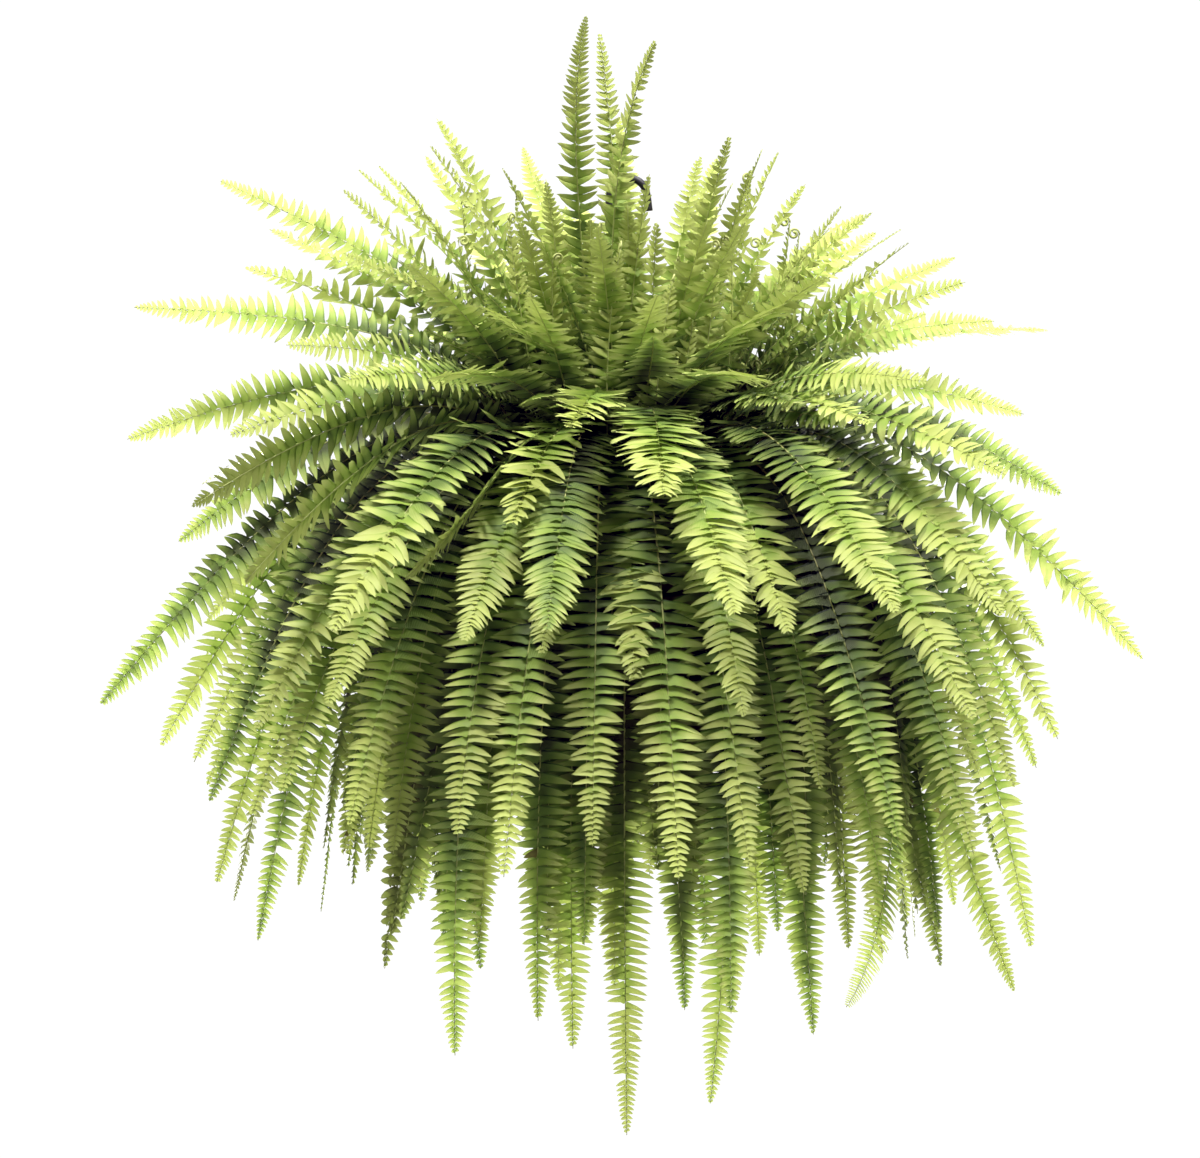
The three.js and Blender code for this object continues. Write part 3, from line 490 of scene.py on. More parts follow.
def tube(skin, points, radii, sides, slot=0, sideways=None, **maps):
    """A closed round tube through the points, with its own radius at each."""
    points = np.asarray(points, float)
    ahead = unit(np.gradient(points, axis=0))
    if sideways is None:
        sideways = [unit(np.cross(ahead[0], ASKEW))]
        for direction in ahead[1:]:
            last = sideways[-1]
            sideways.append(unit(last - direction * (last @ direction)))
    sideways = np.asarray(sideways)
    other = np.cross(ahead, sideways)
    angles = 2 * math.pi * np.arange(sides) / sides
    radii = np.broadcast_to(np.asarray(radii, float), len(points))[:, None, None]
    cosines, sines = np.cos(angles)[None, :, None], np.sin(angles)[None, :, None]
    body = points[:, None] + radii * (cosines * sideways[:, None] + sines * other[:, None])
    per_point = {}
    for name, value in maps.items():
        per_point[name] = np.repeat(np.broadcast_to(value, (len(points), 2)), sides, axis=0)
    last = (len(points) - 1) * sides
    caps = [np.arange(sides)[None, ::-1], last + np.arange(sides)[None, :]]
    skin.add(body, [grid_faces(len(points), sides, closed=True), *caps], slot, **per_point)


def turned(skin, profile, steps, slot=0, centre=(0.0, 0.0)):
    """A body of revolution about Z. The profile's first and last points lie on the axis."""
    profile = np.asarray(profile, float)
    inner = profile[1:-1]
    angles = 2 * math.pi * np.arange(steps) / steps
    ring = np.stack([np.cos(angles), np.sin(angles)], axis=-1)
    heights = np.broadcast_to(inner[:, None, 1:], (len(inner), steps, 1))
    body = np.concatenate([inner[:, None, :1] * ring[None], heights], axis=-1)
    ends = np.array([[0, 0, profile[0, 1]], [0, 0, profile[-1, 1]]])
    points = np.concatenate([body.reshape(-1, 3), ends]) + np.array([*centre, 0])
    first, last = len(points) - 2, len(points) - 1
    around = np.arange(steps)
    after = (around + 1) % steps
    top = (len(inner) - 1) * steps
    caps = [
        np.stack([np.full(steps, first), after, around], axis=-1),
        np.stack([np.full(steps, last), top + around, top + after], axis=-1),
    ]
    skin.add(points, [grid_faces(len(inner), steps, closed=True), *caps], slot)


def rounded(profile, radius, steps=4):
    """The profile with each inner corner replaced by a short arc."""
    profile = [np.asarray(p, float) for p in profile]
    out = [profile[0]]
    for before, corner, after in zip(profile, profile[1:], profile[2:]):
        reach = min(radius, np.linalg.norm(before - corner) / 2.2, np.linalg.norm(after - corner) / 2.2)
        start = corner + unit(before - corner) * reach
        end = corner + unit(after - corner) * reach
        for t in np.linspace(0, 1, steps):
            out.append((1 - t) ** 2 * start + 2 * t * (1 - t) * corner + t**2 * end)
    return [*out, profile[-1]]


def smooth_line(points, steps):
    """A smooth curve through the points, cut at equal steps of its parameter."""
    points = np.asarray(points, float)
    padded = np.concatenate([[2 * points[0] - points[1]], points, [2 * points[-1] - points[-2]]])
    out = []
    for i in range(len(points) - 1):
        a, b, c, d = padded[i : i + 4]
        for t in np.arange(steps) / steps:
            square = (2 * a - 5 * b + 4 * c - d) * t**2
            cube = (3 * b - a - 3 * c + d) * t**3
            out.append(0.5 * (2 * b + (c - a) * t + square + cube))
    return np.array([*out, points[-1]])


# Node materials.
class Nodes:
    """A material's node tree, with short ways to add to it."""

    def __init__(self, name):
        self.material = bpy.data.materials.new(name)
        self.material.use_nodes = True
        self.tree = self.material.node_tree
        self.tree.nodes.clear()
        self.output = self.tree.nodes.new("ShaderNodeOutputMaterial")

    def add(self, kind, inputs=(), **settings):
        node = self.tree.nodes.new(kind)
        for key, value in settings.items():
            setattr(node, key, value)
        for socket, value in dict(inputs).items():
            self.put(node.inputs[socket], value)
        return node

    def put(self, socket, value):
        if isinstance(value, bpy.types.NodeSocket):
            self.tree.links.new(value, socket)
        else:
            socket.default_value = value

    def put_color(self, socket, color):
        self.put(socket, color if isinstance(color, bpy.types.NodeSocket) else (*color, 1))

    def math(self, operation, a, b=0.0, clamp=False):
        return self.add("ShaderNodeMath", {0: a, 1: b}, operation=operation, use_clamp=clamp).outputs[0]

    def ramp(self, value, low, high, to_low=0.0, to_high=1.0):
        inputs = {0: value, 1: low, 2: high, 3: to_low, 4: to_high}
        return self.add("ShaderNodeMapRange", inputs, interpolation_type="SMOOTHSTEP").outputs[0]

    def mix(self, factor, a, b):
        node = self.add("ShaderNodeMix", {0: factor}, data_type="RGBA")
        self.put_color(node.inputs[6], a)
        self.put_color(node.inputs[7], b)
        return node.outputs[2]

    def map(self, name):
        split = self.add("ShaderNodeSeparateXYZ", {0: self.add("ShaderNodeUVMap", uv_map=name).outputs[0]})
        return split.outputs[0], split.outputs[1]

    def noise(self, scale, detail=3.0, roughness=0.55):
        place = self.add("ShaderNodeTexCoord").outputs["Object"]
        inputs = {"Vector": place, "Scale": scale, "Detail": detail, "Roughness": roughness}
        return self.add("ShaderNodeTexNoise", inputs).outputs[0]

    def bump(self, height, strength, distance):
        inputs = {"Strength": strength, "Distance": distance, "Height": height}
        return self.add("ShaderNodeBump", inputs).outputs[0]

    def principled(self, color, roughness, normal=None, **inputs):
        node = self.add("ShaderNodeBsdfPrincipled", {"Roughness": roughness, **inputs})
        self.put_color(node.inputs["Base Color"], color)
        if normal:
            self.put(node.inputs["Normal"], normal)
        return node.outputs[0]

    def finish(self, surface):
        self.tree.links.new(surface, self.output.inputs[0])
        return self.material


# The darkest green is both old leaves' own colour and the painted shade of the darkened parts of the
# blades.
DEEP_GREEN = (0.016, 0.025, 0.012)
LEAF_GREEN = (0.090, 0.156, 0.027)
FRESH_GREEN = (0.234, 0.342, 0.052)
YOUNG_GREEN = (0.440, 0.500, 0.130)
DRY_BROWN = (0.110, 0.065, 0.030)
# The pale green below is the colour of the painted highlight on the blades.
HIGHLIGHT_GREEN = (0.520, 0.570, 0.210)
THROUGH_SHARE = 0.32
VEINS = 130.0
STALK_FOOT = (0.085, 0.045, 0.020)
STALK_TAN = (0.250, 0.190, 0.070)
STALK_GREEN = (0.420, 0.470, 0.150)
STALK_STAIN = (0.110, 0.070, 0.030)
SCALE_BROWNS = ((0.070, 0.036, 0.016), (0.200, 0.110, 0.045))
POT_GREENS = ((0.012, 0.022, 0.015), (0.035, 0.045, 0.032))
HANGER_BLACKS = ((0.010, 0.009, 0.012), (0.035, 0.032, 0.036))
SOIL_BROWNS = ((0.014, 0.009, 0.006), (0.085, 0.055, 0.034))
PERLITE_WHITES = ((0.45, 0.42, 0.36), (0.72, 0.70, 0.64))
FLOOR_GREYS = ((0.86, 0.86, 0.86), (0.89, 0.89, 0.89))


def leaf_material():
    """Green blades that let light through, yellower when young. Lighter towards a frond's tip, partly as
    paler new growth and partly as a painted glow of light through it. Darker towards the foot of young
    fronds, as painted shade. Each blade darker at its own foot and lighter towards its tip, partly its own
    colour and partly painted shade by the rib. A painted highlight on all of a blade but the strip nearest
    the frond's foot, which is left in painted shade."""
    n = Nodes("fern_leaf")
    along, across = n.map("blade")
    share, tone = n.map("frond")
    youth, dryness = n.map("life")
    patches = n.noise(38.0)
    # The level built up here is a blade's freshness with painted light and shade added to it.
    fresh_and_lit = n.math("MULTIPLY", youth, n.ramp(share, 0.3, 1.0, 0.50, 0.18))
    # Lighter towards a frond's tip, less on old fronds: partly paler new growth, partly a painted glow of
    # light shining through the tips.
    tip_growth_and_glow = n.math("MULTIPLY", n.ramp(share, 0.4, 1.0, 0.0, 0.80), n.ramp(youth, -0.4, -0.05, 0.55, 1.2))
    # Painted shade: young fronds most of all are darker towards their foot, in the crowded middle over the
    # soil.
    core_shade = n.math("MULTIPLY", n.ramp(share, 0.1, 0.55, -1.0, 0.0), n.ramp(youth, 0.15, 0.5, 0.03, 0.30))
    fresh_and_lit = n.math("ADD", n.math("ADD", fresh_and_lit, tip_growth_and_glow), core_shade)
    fresh_and_lit = n.math("ADD", fresh_and_lit, n.ramp(tone, 0.0, 1.0, -0.10, 0.14))
    fresh_and_lit = n.math("ADD", fresh_and_lit, n.ramp(patches, 0.3, 0.7, -0.08, 0.10))
    # Painted shade: the strip of each blade nearest the frond's foot is kept darker, as if shaded by its
    # neighbour.
    fresh_and_lit = n.math("ADD", fresh_and_lit, n.ramp(across, -0.025, 0.25, 0.0, 0.20))
    # Each blade darker at its foot by the rib and lighter towards its tip: partly its own colour, partly
    # painted shade by the rib.
    fresh_and_lit = n.math("ADD", fresh_and_lit, n.ramp(along, 0.05, 1.0, -0.16, 0.30), clamp=True)
    color = n.mix(n.ramp(fresh_and_lit, 0.0, 0.36), DEEP_GREEN, LEAF_GREEN)
    color = n.mix(n.ramp(fresh_and_lit, 0.30, 0.66), color, FRESH_GREEN)
    color = n.mix(n.ramp(fresh_and_lit, 0.62, 1.0), color, YOUNG_GREEN)
    # Painted highlight: the rest of each blade, most towards its tip, is mixed towards a pale green as if
    # lit.
    painted_highlight = n.math("MULTIPLY", n.ramp(across, 0.11, 0.25, 0.0, 0.6), n.ramp(along, 0.2, 0.9, 0.15, 1.0))
    color = n.mix(painted_highlight, color, HIGHLIGHT_GREEN)
    specks = n.ramp(n.noise(420.0, 2.0), 0.68, 0.78, 0.0, 0.35)
    color = n.mix(n.math("MULTIPLY", specks, n.ramp(share, 0.0, 0.6, 1.0, 0.2)), color, DRY_BROWN)
    dried = n.math("MULTIPLY", dryness, n.ramp(patches, 0.25, 0.75, 0.75, 1.0), clamp=True)
    color = n.mix(dried, color, DRY_BROWN)
    slant = n.math("ADD", n.math("MULTIPLY", across, 0.18), 0.045)
    veins = n.math("SINE", n.math("MULTIPLY", n.math("SUBTRACT", along, slant), VEINS))
    relief = n.math("MULTIPLY", veins, n.ramp(share, 0.5, 0.9, 1.0, 0.0))
    normal = n.bump(relief, 0.35, 0.0003)
    roughness = n.ramp(patches, 0.2, 0.8, 0.42, 0.60)
    front = n.principled(color, roughness, normal, **{"Specular IOR Level": 0.22})
    glow = n.mix(n.math("MULTIPLY", fresh_and_lit, 0.35), color, FRESH_GREEN)
    through = n.add("ShaderNodeBsdfTranslucent", {"Color": glow, "Normal": normal}).outputs[0]
    return n.finish(n.add("ShaderNodeMixShader", {0: THROUGH_SHARE, 1: front, 2: through}).outputs[0])


def rib_material():
    """Stalks: brown and scaly at the foot, tan along the frond and pale green towards its tip."""
    n = Nodes("fern_rib")
    share, _ = n.map("frond")
    youth, dryness = n.map("life")
    patches = n.noise(60.0)
    color = n.mix(n.ramp(share, 0.02, 0.22), STALK_FOOT, STALK_TAN)
    green = n.math("ADD", n.ramp(share, 0.12, 0.8), n.math("MULTIPLY", youth, 0.7), clamp=True)
    color = n.mix(green, color, STALK_GREEN)
    color = n.mix(n.ramp(patches, 0.45, 0.7, 0.0, 0.35), color, STALK_STAIN)
    color = n.mix(dryness, color, DRY_BROWN)
    normal = n.bump(n.noise(900.0, 2.0), 0.3, 0.0003)
    return n.finish(n.principled(color, 0.5, normal))


def scale_material():
    n = Nodes("crown_scale")
    color = n.mix(n.ramp(n.noise(300.0), 0.35, 0.65), *SCALE_BROWNS)
    return n.finish(n.principled(color, 0.7))


def pot_material():
    n = Nodes("pot_plastic")
    dust = n.ramp(n.noise(14.0, 5.0), 0.40, 0.75)
    color = n.mix(dust, *POT_GREENS)
    roughness = n.ramp(n.noise(30.0, 4.0), 0.3, 0.7, 0.34, 0.55)
    normal = n.bump(n.noise(700.0, 2.0), 0.12, 0.0002)
    return n.finish(n.principled(color, roughness, normal))


def hanger_material():
    n = Nodes("hanger_plastic")
    color = n.mix(n.ramp(n.noise(40.0, 4.0), 0.4, 0.75), *HANGER_BLACKS)
    roughness = n.ramp(n.noise(120.0, 3.0), 0.3, 0.7, 0.30, 0.50)
    normal = n.bump(n.noise(900.0, 2.0), 0.15, 0.0002)
    return n.finish(n.principled(color, roughness, normal))


def soil_material():
    n = Nodes("potting_soil")
    crumbs = n.noise(260.0, 6.0, 0.7)
    color = n.mix(n.ramp(crumbs, 0.35, 0.65), *SOIL_BROWNS)
    return n.finish(n.principled(color, 0.95, n.bump(crumbs, 0.8, 0.002)))


def perlite_material():
    n = Nodes("perlite")
    color = n.mix(n.ramp(n.noise(500.0), 0.3, 0.7), *PERLITE_WHITES)
    return n.finish(n.principled(color, 0.9))


def floor_material():
    """Pale and matt under the plant, and as white as the sky further off."""
    n = Nodes("pale_floor")
    color = n.mix(n.ramp(n.noise(0.6, 2.0), 0.3, 0.7), *FLOOR_GREYS)
    matt = n.principled(color, 0.85, **{"Specular IOR Level": 0.1})
    place = n.add("ShaderNodeTexCoord").outputs["Object"]
    distance = n.add("ShaderNodeVectorMath", {0: place}, operation="LENGTH").outputs["Value"]
    seen = n.add("ShaderNodeLightPath").outputs["Is Camera Ray"]
    white = n.add("ShaderNodeEmission", {"Strength": WHITE}).outputs[0]
    factor = n.math("MULTIPLY", seen, n.ramp(distance, *FLOOR_FADE))
    return n.finish(n.add("ShaderNodeMixShader", {0: factor, 1: matt, 2: white}).outputs[0])


# The growth rule, which places the fronds as the solids do.
def make_draws(state):
    """Numbers from 0 to 1, the same ones that placed the solids."""
    while True:
        state = (state * 1664525 + 1013904223) % 2**32
        yield state / 2**32


def back_fronds():
    draws = make_draws(BACK_SEED)
    fronds = []
    for tier, count, first, last, length, reach in BACK_TIERS:
        for i in range(count):
            turn, rise, growth, bow, roll = ((next(draws) - 0.5) * spread for spread in BACK_SPREADS)
            azimuth = first + (last - first) * i / (count - 1) + turn
            fronds.append((azimuth, tier + rise, length * (1 + growth), bow, roll, reach))
    return fronds


def at_tier(table, tier):
    place = min(max(tier * TIER_STEPS, 0.0), len(table) - 1.0)
    row = min(int(place), len(table) - 2)
    return table[row] + (table[row + 1] - table[row]) * (place - row)


def rib_path(azimuth, tier, length, bow, roll, foot):
    """The rib's points from its foot outwards, each with its direction, left side and upper side."""
    along = PATH_STEP * np.arange(round(length / PATH_STEP) + 1)
    rise, fall, turn = (at_tier(table, tier) for table in (RISE_ANGLE, FALL_ANGLE, TURN_LENGTH))
    slope = np.radians(fall + (rise - fall) / (1 + (along / turn) ** TURN_SHARPNESS))[:, None]
    across = at_azimuth(1, azimuth + 90)
    flat = np.cos(slope) * at_azimuth(1, azimuth) + np.sin(slope) * np.array([0, 0, 1])
    sweep = (math.radians(bow) * (along / length) ** 2)[:, None]
    ahead = flat * np.cos(sweep) + across * np.sin(sweep)
    side = across * np.cos(sweep) - flat * np.sin(sweep)
    turned_by = (math.radians(roll) * (along / length) ** ROLL_POWER)[:, None]
    side = side * np.cos(turned_by) + np.cross(ahead, side) * np.sin(turned_by)
    points = foot + np.concatenate([[np.zeros(3)], np.cumsum(ahead[:-1] * PATH_STEP, axis=0)])
    return {"along": along, "point": points, "ahead": ahead, "side": side, "up": np.cross(ahead, side)}


def hook_line():
    arc = [at_azimuth(EYE_RADIUS + ROD_RADIUS, angle) for angle in EYE_ARC]
    line = [HOOK_FREE_END, *((p[0], p[1] - EYE_RADIUS) for p in arc), *HOOK_LEG]
    return np.array([(x, 0.0, z) for x, z in line])


def strand_corners(azimuth):
    return [
        at_azimuth(STRAND_RING, azimuth, DISC_TOP_Z + GAP + STRAND_STUB),
        at_azimuth(STRAND_RING, azimuth, DISC_TOP_Z - DISC_THICKNESS - STRAND_DROP),
        at_azimuth(RIM_RING, azimuth, RIM_Z + STRAND_DROP),
        at_azimuth(RIM_RING, azimuth, RIM_Z - LIP_THICKNESS - GAP - STRAND_STUB),
    ]


def basket_points():
    """What ribs keep clear of besides each other, as points with radii."""
    found = []
    for azimuth in STRAND_AZIMUTHS:
        _, start, end, _ = strand_corners(azimuth)
        steps = [(end - start) * i / STRAND_STEPS for i in range(STRAND_STEPS + 1)]
        found += [(start + step, STRAND_RADIUS) for step in steps]
    found += [(point, ROD_RADIUS) for point in hook_line()]
    lip = [at_azimuth(RIM_RING, 360 * i / LIP_POINTS, RIM_Z) for i in range(LIP_POINTS)]
    found += [(point, LIP_WIDTH / 2) for point in lip]
    found += [(np.array([0, 0, -EYE_RADIUS]), EYE_RADIUS), (np.array([0, 0, DISC_TOP_Z]), DISC_RADIUS)]
    return found


def grow_crowns():
    """The crowns with their fronds. A frond rises near its ideal foot, turned clear of the others."""
    places = [
        at_azimuth(CROWN_SPREAD * math.sqrt((i + 0.5) / CROWN_COUNT), CROWN_TURN * i, SOIL_Z)
        for i in range(CROWN_COUNT)
    ]
    fronds_of = [[] for _ in places]
    points, radii = (np.array(values) for values in zip(*basket_points()))
    owners = np.full(len(points), -1)
    alongs = np.full(len(points), np.inf)
    for azimuth, tier, length, bow, roll, reach in (*FRONT_FRONDS, *back_fronds()):
        ideal = at_azimuth(at_tier(FOOT_DISTANCE, tier), azimuth, SOIL_Z)
        by_distance = sorted(range(CROWN_COUNT), key=lambda i: np.linalg.norm(places[i] - ideal))
        for turn, crown in ((t, crown) for t in TURNS_TRIED for crown in by_distance[:CROWNS_TRIED]):
            foot = places[crown] + at_azimuth(CROWN_RADIUS * FOOT_SHARE, azimuth + turn)
            path = rib_path(azimuth + turn, tier, length, bow, roll, foot)
            apart = np.linalg.norm(path["point"][:, None] - points[None], axis=-1) > radii + RIB_CLEARANCE
            together = (owners == crown) & (alongs < CROWN_REACH)
            if np.all(apart | (together[None] & (path["along"] < CROWN_REACH)[:, None])):
                break
        frond = {"path": path, "length": length, "reach": reach, "tier": tier}
        fronds_of[crown].append({**frond, "taper": at_tier(TAPER_SHARE, tier)})
        points = np.concatenate([points, path["point"]])
        alongs = np.concatenate([alongs, path["along"]])
        radii = np.pad(radii, (0, len(path["along"])))
        owners = np.pad(owners, (0, len(path["along"])), constant_values=crown)
    return [(place, fronds) for place, fronds in zip(places, fronds_of) if fronds]


def leaflet_length(along, frond):
    grown = smoothstep(along, LEAFLETS_FROM, FULL_LEAFLET_AT)
    left = np.clip((frond["length"] - along) / frond["length"] / frond["taper"], 0, 1)
    return frond["reach"] * grown * left**TAPER_POWER


def path_at(path, along):
    """The path's point and directions at any lengths along it."""
    return {
        key: np.stack([np.interp(along, path["along"], path[key][:, i]) for i in range(3)], -1)
        for key in PATH_KEYS
    }


# Blades, ribs and crowns.
def blade_grid(rows, columns, lengths, widths, lean, sickle, droop, sag, twist, wave, phase):
    """Blades laid out along x, with y towards the frond's tip and z up, by blade, row, column and xyz."""
    t = rows[None, :, None]
    c = columns[None, None, :]
    heading = lean + sickle * t
    dip = droop + sag * t
    steps = np.diff(rows, prepend=0.0)[None, :, None] * lengths
    x = np.cumsum(np.cos(heading) * np.cos(dip) * steps, axis=1)
    y = np.cumsum(np.sin(heading) * np.cos(dip) * steps, axis=1)
    z = -np.cumsum(np.sin(dip) * steps, axis=1)
    body = (1 + 0.22 * np.exp(-((t / 0.12) ** 2))) * (1 - t**2.3) ** 0.85
    ear = 0.30 * np.exp(-(((t - 0.07) / 0.08) ** 2))
    spread = c * (widths * body / 2 * (1 + np.where(c > 0, 1, 0.15) * ear))
    turn = twist * (1 - 0.6 * t)
    fold = 0.22 * np.abs(spread)
    ripple = wave * np.sin(9.0 * t + phase) * lengths
    out_x = x - np.sin(heading) * spread * np.cos(turn)
    out_y = y + np.cos(heading) * spread * np.cos(turn)
    out_z = z + spread * np.sin(turn) + fold + ripple * c**2 * np.sign(c)
    return np.stack([out_x, out_y, out_z], axis=-1)


def add_blades(skin, spots, hand, lengths, widths, shares, tones, youth, dryness, arching, full):
    """One side's leaflets of a frond. On an arching frond they lean towards its tip and overlap."""
    count = len(lengths)
    grown = smoothstep(lengths, 2, 14)

    def vary(middle, spread):
        return middle + spread * grown * rng.standard_normal(count)

    fine = {
        "lengths": lengths,
        "widths": widths * vary(1.0, 0.07),
        "lean": np.radians(vary(-2, 4) + 9 * youth + 20 * shares**4 + arching * (3 + 20 * shares**2.5)),
        "sickle": np.radians(vary(14, 7) + 8 * youth),
        "droop": np.radians(vary(-2, 4 + 12 * youth) - 10 * youth),
        "sag": np.radians(vary(6, 6 + 12 * youth) - 18 * youth),
        "twist": np.radians(vary(15 - 9 * arching, 6 + 22 * max(youth, 0))),
        "wave": vary(0.016, 0.012),
        "phase": rng.uniform(0, 2 * math.pi, count),
    }
    columns = np.array(BLADE_COLUMNS)
    for chosen, rows in ((full, np.array(BLADE_ROWS)), (~full, np.array(PLAIN_BLADE_ROWS))):
        if not chosen.any():
            continue
        own = {key: values[chosen, None, None] for key, values in fine.items()}
        grid = blade_grid(rows, columns, **own)
        point, ahead, side, up = (spots[key][chosen, None, None] for key in PATH_KEYS)
        base = point + side * hand * LEAFLET_OFFSET
        points = base + side * hand * grid[..., :1] + ahead * grid[..., 1:2] + up * grid[..., 2:]
        size = len(rows) * len(columns)
        quads = grid_faces(len(rows), len(columns), flip=hand < 0)
        blades = chosen.sum()
        faces = (quads[None] + size * np.arange(blades)[:, None, None]).reshape(-1, 4)
        blade = np.stack(np.broadcast_arrays(rows[:, None], (columns[None] + 1) / 2), -1)
        blade = np.broadcast_to(blade[None], (blades, *blade.shape)).reshape(-1, 2)
        frond = np.repeat(np.stack([shares[chosen], tones[chosen]], -1), size, axis=0)
        life = np.repeat(np.stack([np.full(blades, youth), dryness[chosen]], -1), size, axis=0)
        skin.add(points.reshape(-1, 3), [faces], 0, blade=blade, frond=frond, life=life)


def add_frond(skin, frond, old=None):
    """A rib with its leaflets. An old frond, given how withered it is, is dark and plainer; its dark is
    partly age and partly painted shade inside the plant.
    """
    path, length, reach, tier = frond["path"], frond["length"], frond["reach"], frond["tier"]
    youth = float(np.clip(tier * YOUTH_SLOPE + YOUTH_AT_SKIRT + rng.normal(0, YOUTH_SPREAD), OLDEST, 1))
    if tier > YOUNGEST_FROM:
        youth = rng.uniform(0.8, 1.0)
    arching = float(smoothstep(tier, *ARCH_TIERS[:2]) * (1 - smoothstep(tier, *ARCH_TIERS[2:])))
    outwards = unit(path["point"][-1] - path["point"][0])
    arching *= SIDE_ARCH + (1 - SIDE_ARCH) * max(0.0, -outwards[1]) ** 2
    is_low = tier < LOW_TIERS
    withered = rng.uniform(*WITHERED) if is_low and rng.uniform() < WITHERED_SHARE else 0.0
    pitch_share = PITCH + (YOUNG_PITCH - PITCH) * max(youth, 0.0)
    if old is not None:
        youth, withered, pitch_share = OLDEST, old, OLD_PITCH
    pitch = reach * pitch_share * (1 - 0.2 * arching)
    kept = np.append(np.arange(0, len(path["along"]) - 1, RIB_STRIDE), len(path["along"]) - 1)
    share = path["along"][kept] / length
    radii = RIB_RADIUS + (RIB_TIP_RADIUS - RIB_RADIUS) * share**0.7
    maps = {"frond": np.stack([share, np.full(len(share), 0.5)], -1), "life": (youth, 0.0)}
    tube(skin, path["point"][kept], radii, RIB_SIDES, 1, sideways=path["side"][kept], **maps)
    stations = []
    along = LEAFLETS_FROM
    while along < path["along"][-1] - BARE_TIP:
        size = leaflet_length(along, frond)
        stations.append(along)
        along += max(LEAST_PITCH, pitch * (SMALL_PITCH + (1 - SMALL_PITCH) * size / reach))
    stations = np.array(stations)
    steps = np.gradient(stations)
    for hand in (1, -1):
        places = stations + steps * rng.normal(0.0 if hand > 0 else 0.2, 0.06, len(stations))
        lengths = np.maximum(leaflet_length(places, frond), LEAST_LEAFLET)
        lengths = lengths * rng.normal(1, 0.035, len(places))
        lengths = lengths * (1 + 0.3 * arching * smoothstep(places / length, 0.6, 0.95))
        keep = rng.uniform(size=len(places)) > LOST_SHARE
        spots = path_at(path, places[keep])
        dry = (rng.uniform(size=len(places)) > (1 - DRY_SHARE if is_low else 1)).astype(float)
        lengths = lengths * (1 - 0.4 * dry)
        dry = np.maximum(dry, withered)
        wider = 0.5 * arching * smoothstep(places / length, 1.0, 0.8)
        widths = steps * WIDTH_SHARE * (1 + wider - 0.1 * youth)
        tones = rng.uniform(size=len(places))
        full = (lengths >= FULL_DETAIL_FROM) & (old is None)
        chosen = (values[keep] for values in (lengths, widths, places / length, tones))
        add_blades(skin, spots, hand, *chosen, youth, dry[keep], arching, full[keep])
    if tier > YOUNGEST_FROM:
        add_coil(skin, path, youth)


def add_coil(skin, path, youth):
    """The young tip of a frond, still rolled up."""
    tip, ahead, up = (path[key][-1] for key in ("point", "ahead", "up"))
    angles = np.linspace(0, COIL_TURN, COIL_POINTS)[:, None]
    radii = np.linspace(*COIL_RADII, COIL_POINTS)[:, None]
    line = tip + up * COIL_RADII[0] + radii * (np.sin(angles) * ahead - np.cos(angles) * up)
    tube(skin, line, np.linspace(*COIL_ROD, COIL_POINTS), 6, 1, frond=(0.95, 0.5), life=(youth, 0.0))


def add_crown(skin, place):
    """A short rootstock wrapped in pointed brown scales."""
    stock = [(radius, SOIL_Z + height) for radius, height in CROWN_OUTLINE]
    turned(skin, stock, 12, 2, centre=place[:2])
    for i in range(CROWN_SCALES):
        azimuth = CROWN_TURN * i + rng.uniform(-15, 15)
        out = at_azimuth(1, azimuth)
        across = at_azimuth(1, azimuth + 90)
        foot = place + out * (5.6 - 0.12 * i) + np.array([0, 0, -1 + 0.28 * i])
        tip = foot + out * rng.uniform(1.5, 4) + np.array([0, 0, rng.uniform(4, 9)])
        middle = (foot + tip) / 2 + out * 0.8
        corners = (foot - across * 0.8, foot + across * 0.8, middle - across * 0.7, middle + across * 0.7)
        skin.add([*corners, tip], [[(0, 1, 3, 2)], [(2, 3, 4)]], 2)


def plant_pieces(leaf, rib, scale):
    for i, (place, fronds) in enumerate(grow_crowns()):
        skin = Skin()
        for frond in fronds:
            add_frond(skin, frond)
        add_crown(skin, place)
        piece = skin.make(f"crown_{i + 1:02d}_leafy", (leaf, rib, scale))
        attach(piece, "root")
        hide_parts(f"fronds_{i + 1:02d}")


def inner_piece(name, groups, leaf, rib):
    """Fronds that fill the plant behind and between the others."""
    skin = Skin()
    for count, first, last, tiers, lengths, reach, withered in groups:
        for i in range(count):
            azimuth = first + (last - first) * i / (count - 1) + rng.uniform(-5, 5)
            tier = rng.uniform(*tiers)
            length = rng.uniform(*lengths)
            foot = at_azimuth(at_tier(FOOT_DISTANCE, tier) - INNER_FOOT, azimuth, SOIL_Z)
            path = rib_path(azimuth, tier, length, rng.uniform(-14, 14), rng.uniform(-30, 30), foot)
            frond = {"path": path, "length": length, "reach": reach, "tier": tier, "taper": INNER_TAPER}
            add_frond(skin, frond, rng.uniform(*withered) if withered else None)
    piece = skin.make(name, (leaf, rib))
    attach(piece, "root")


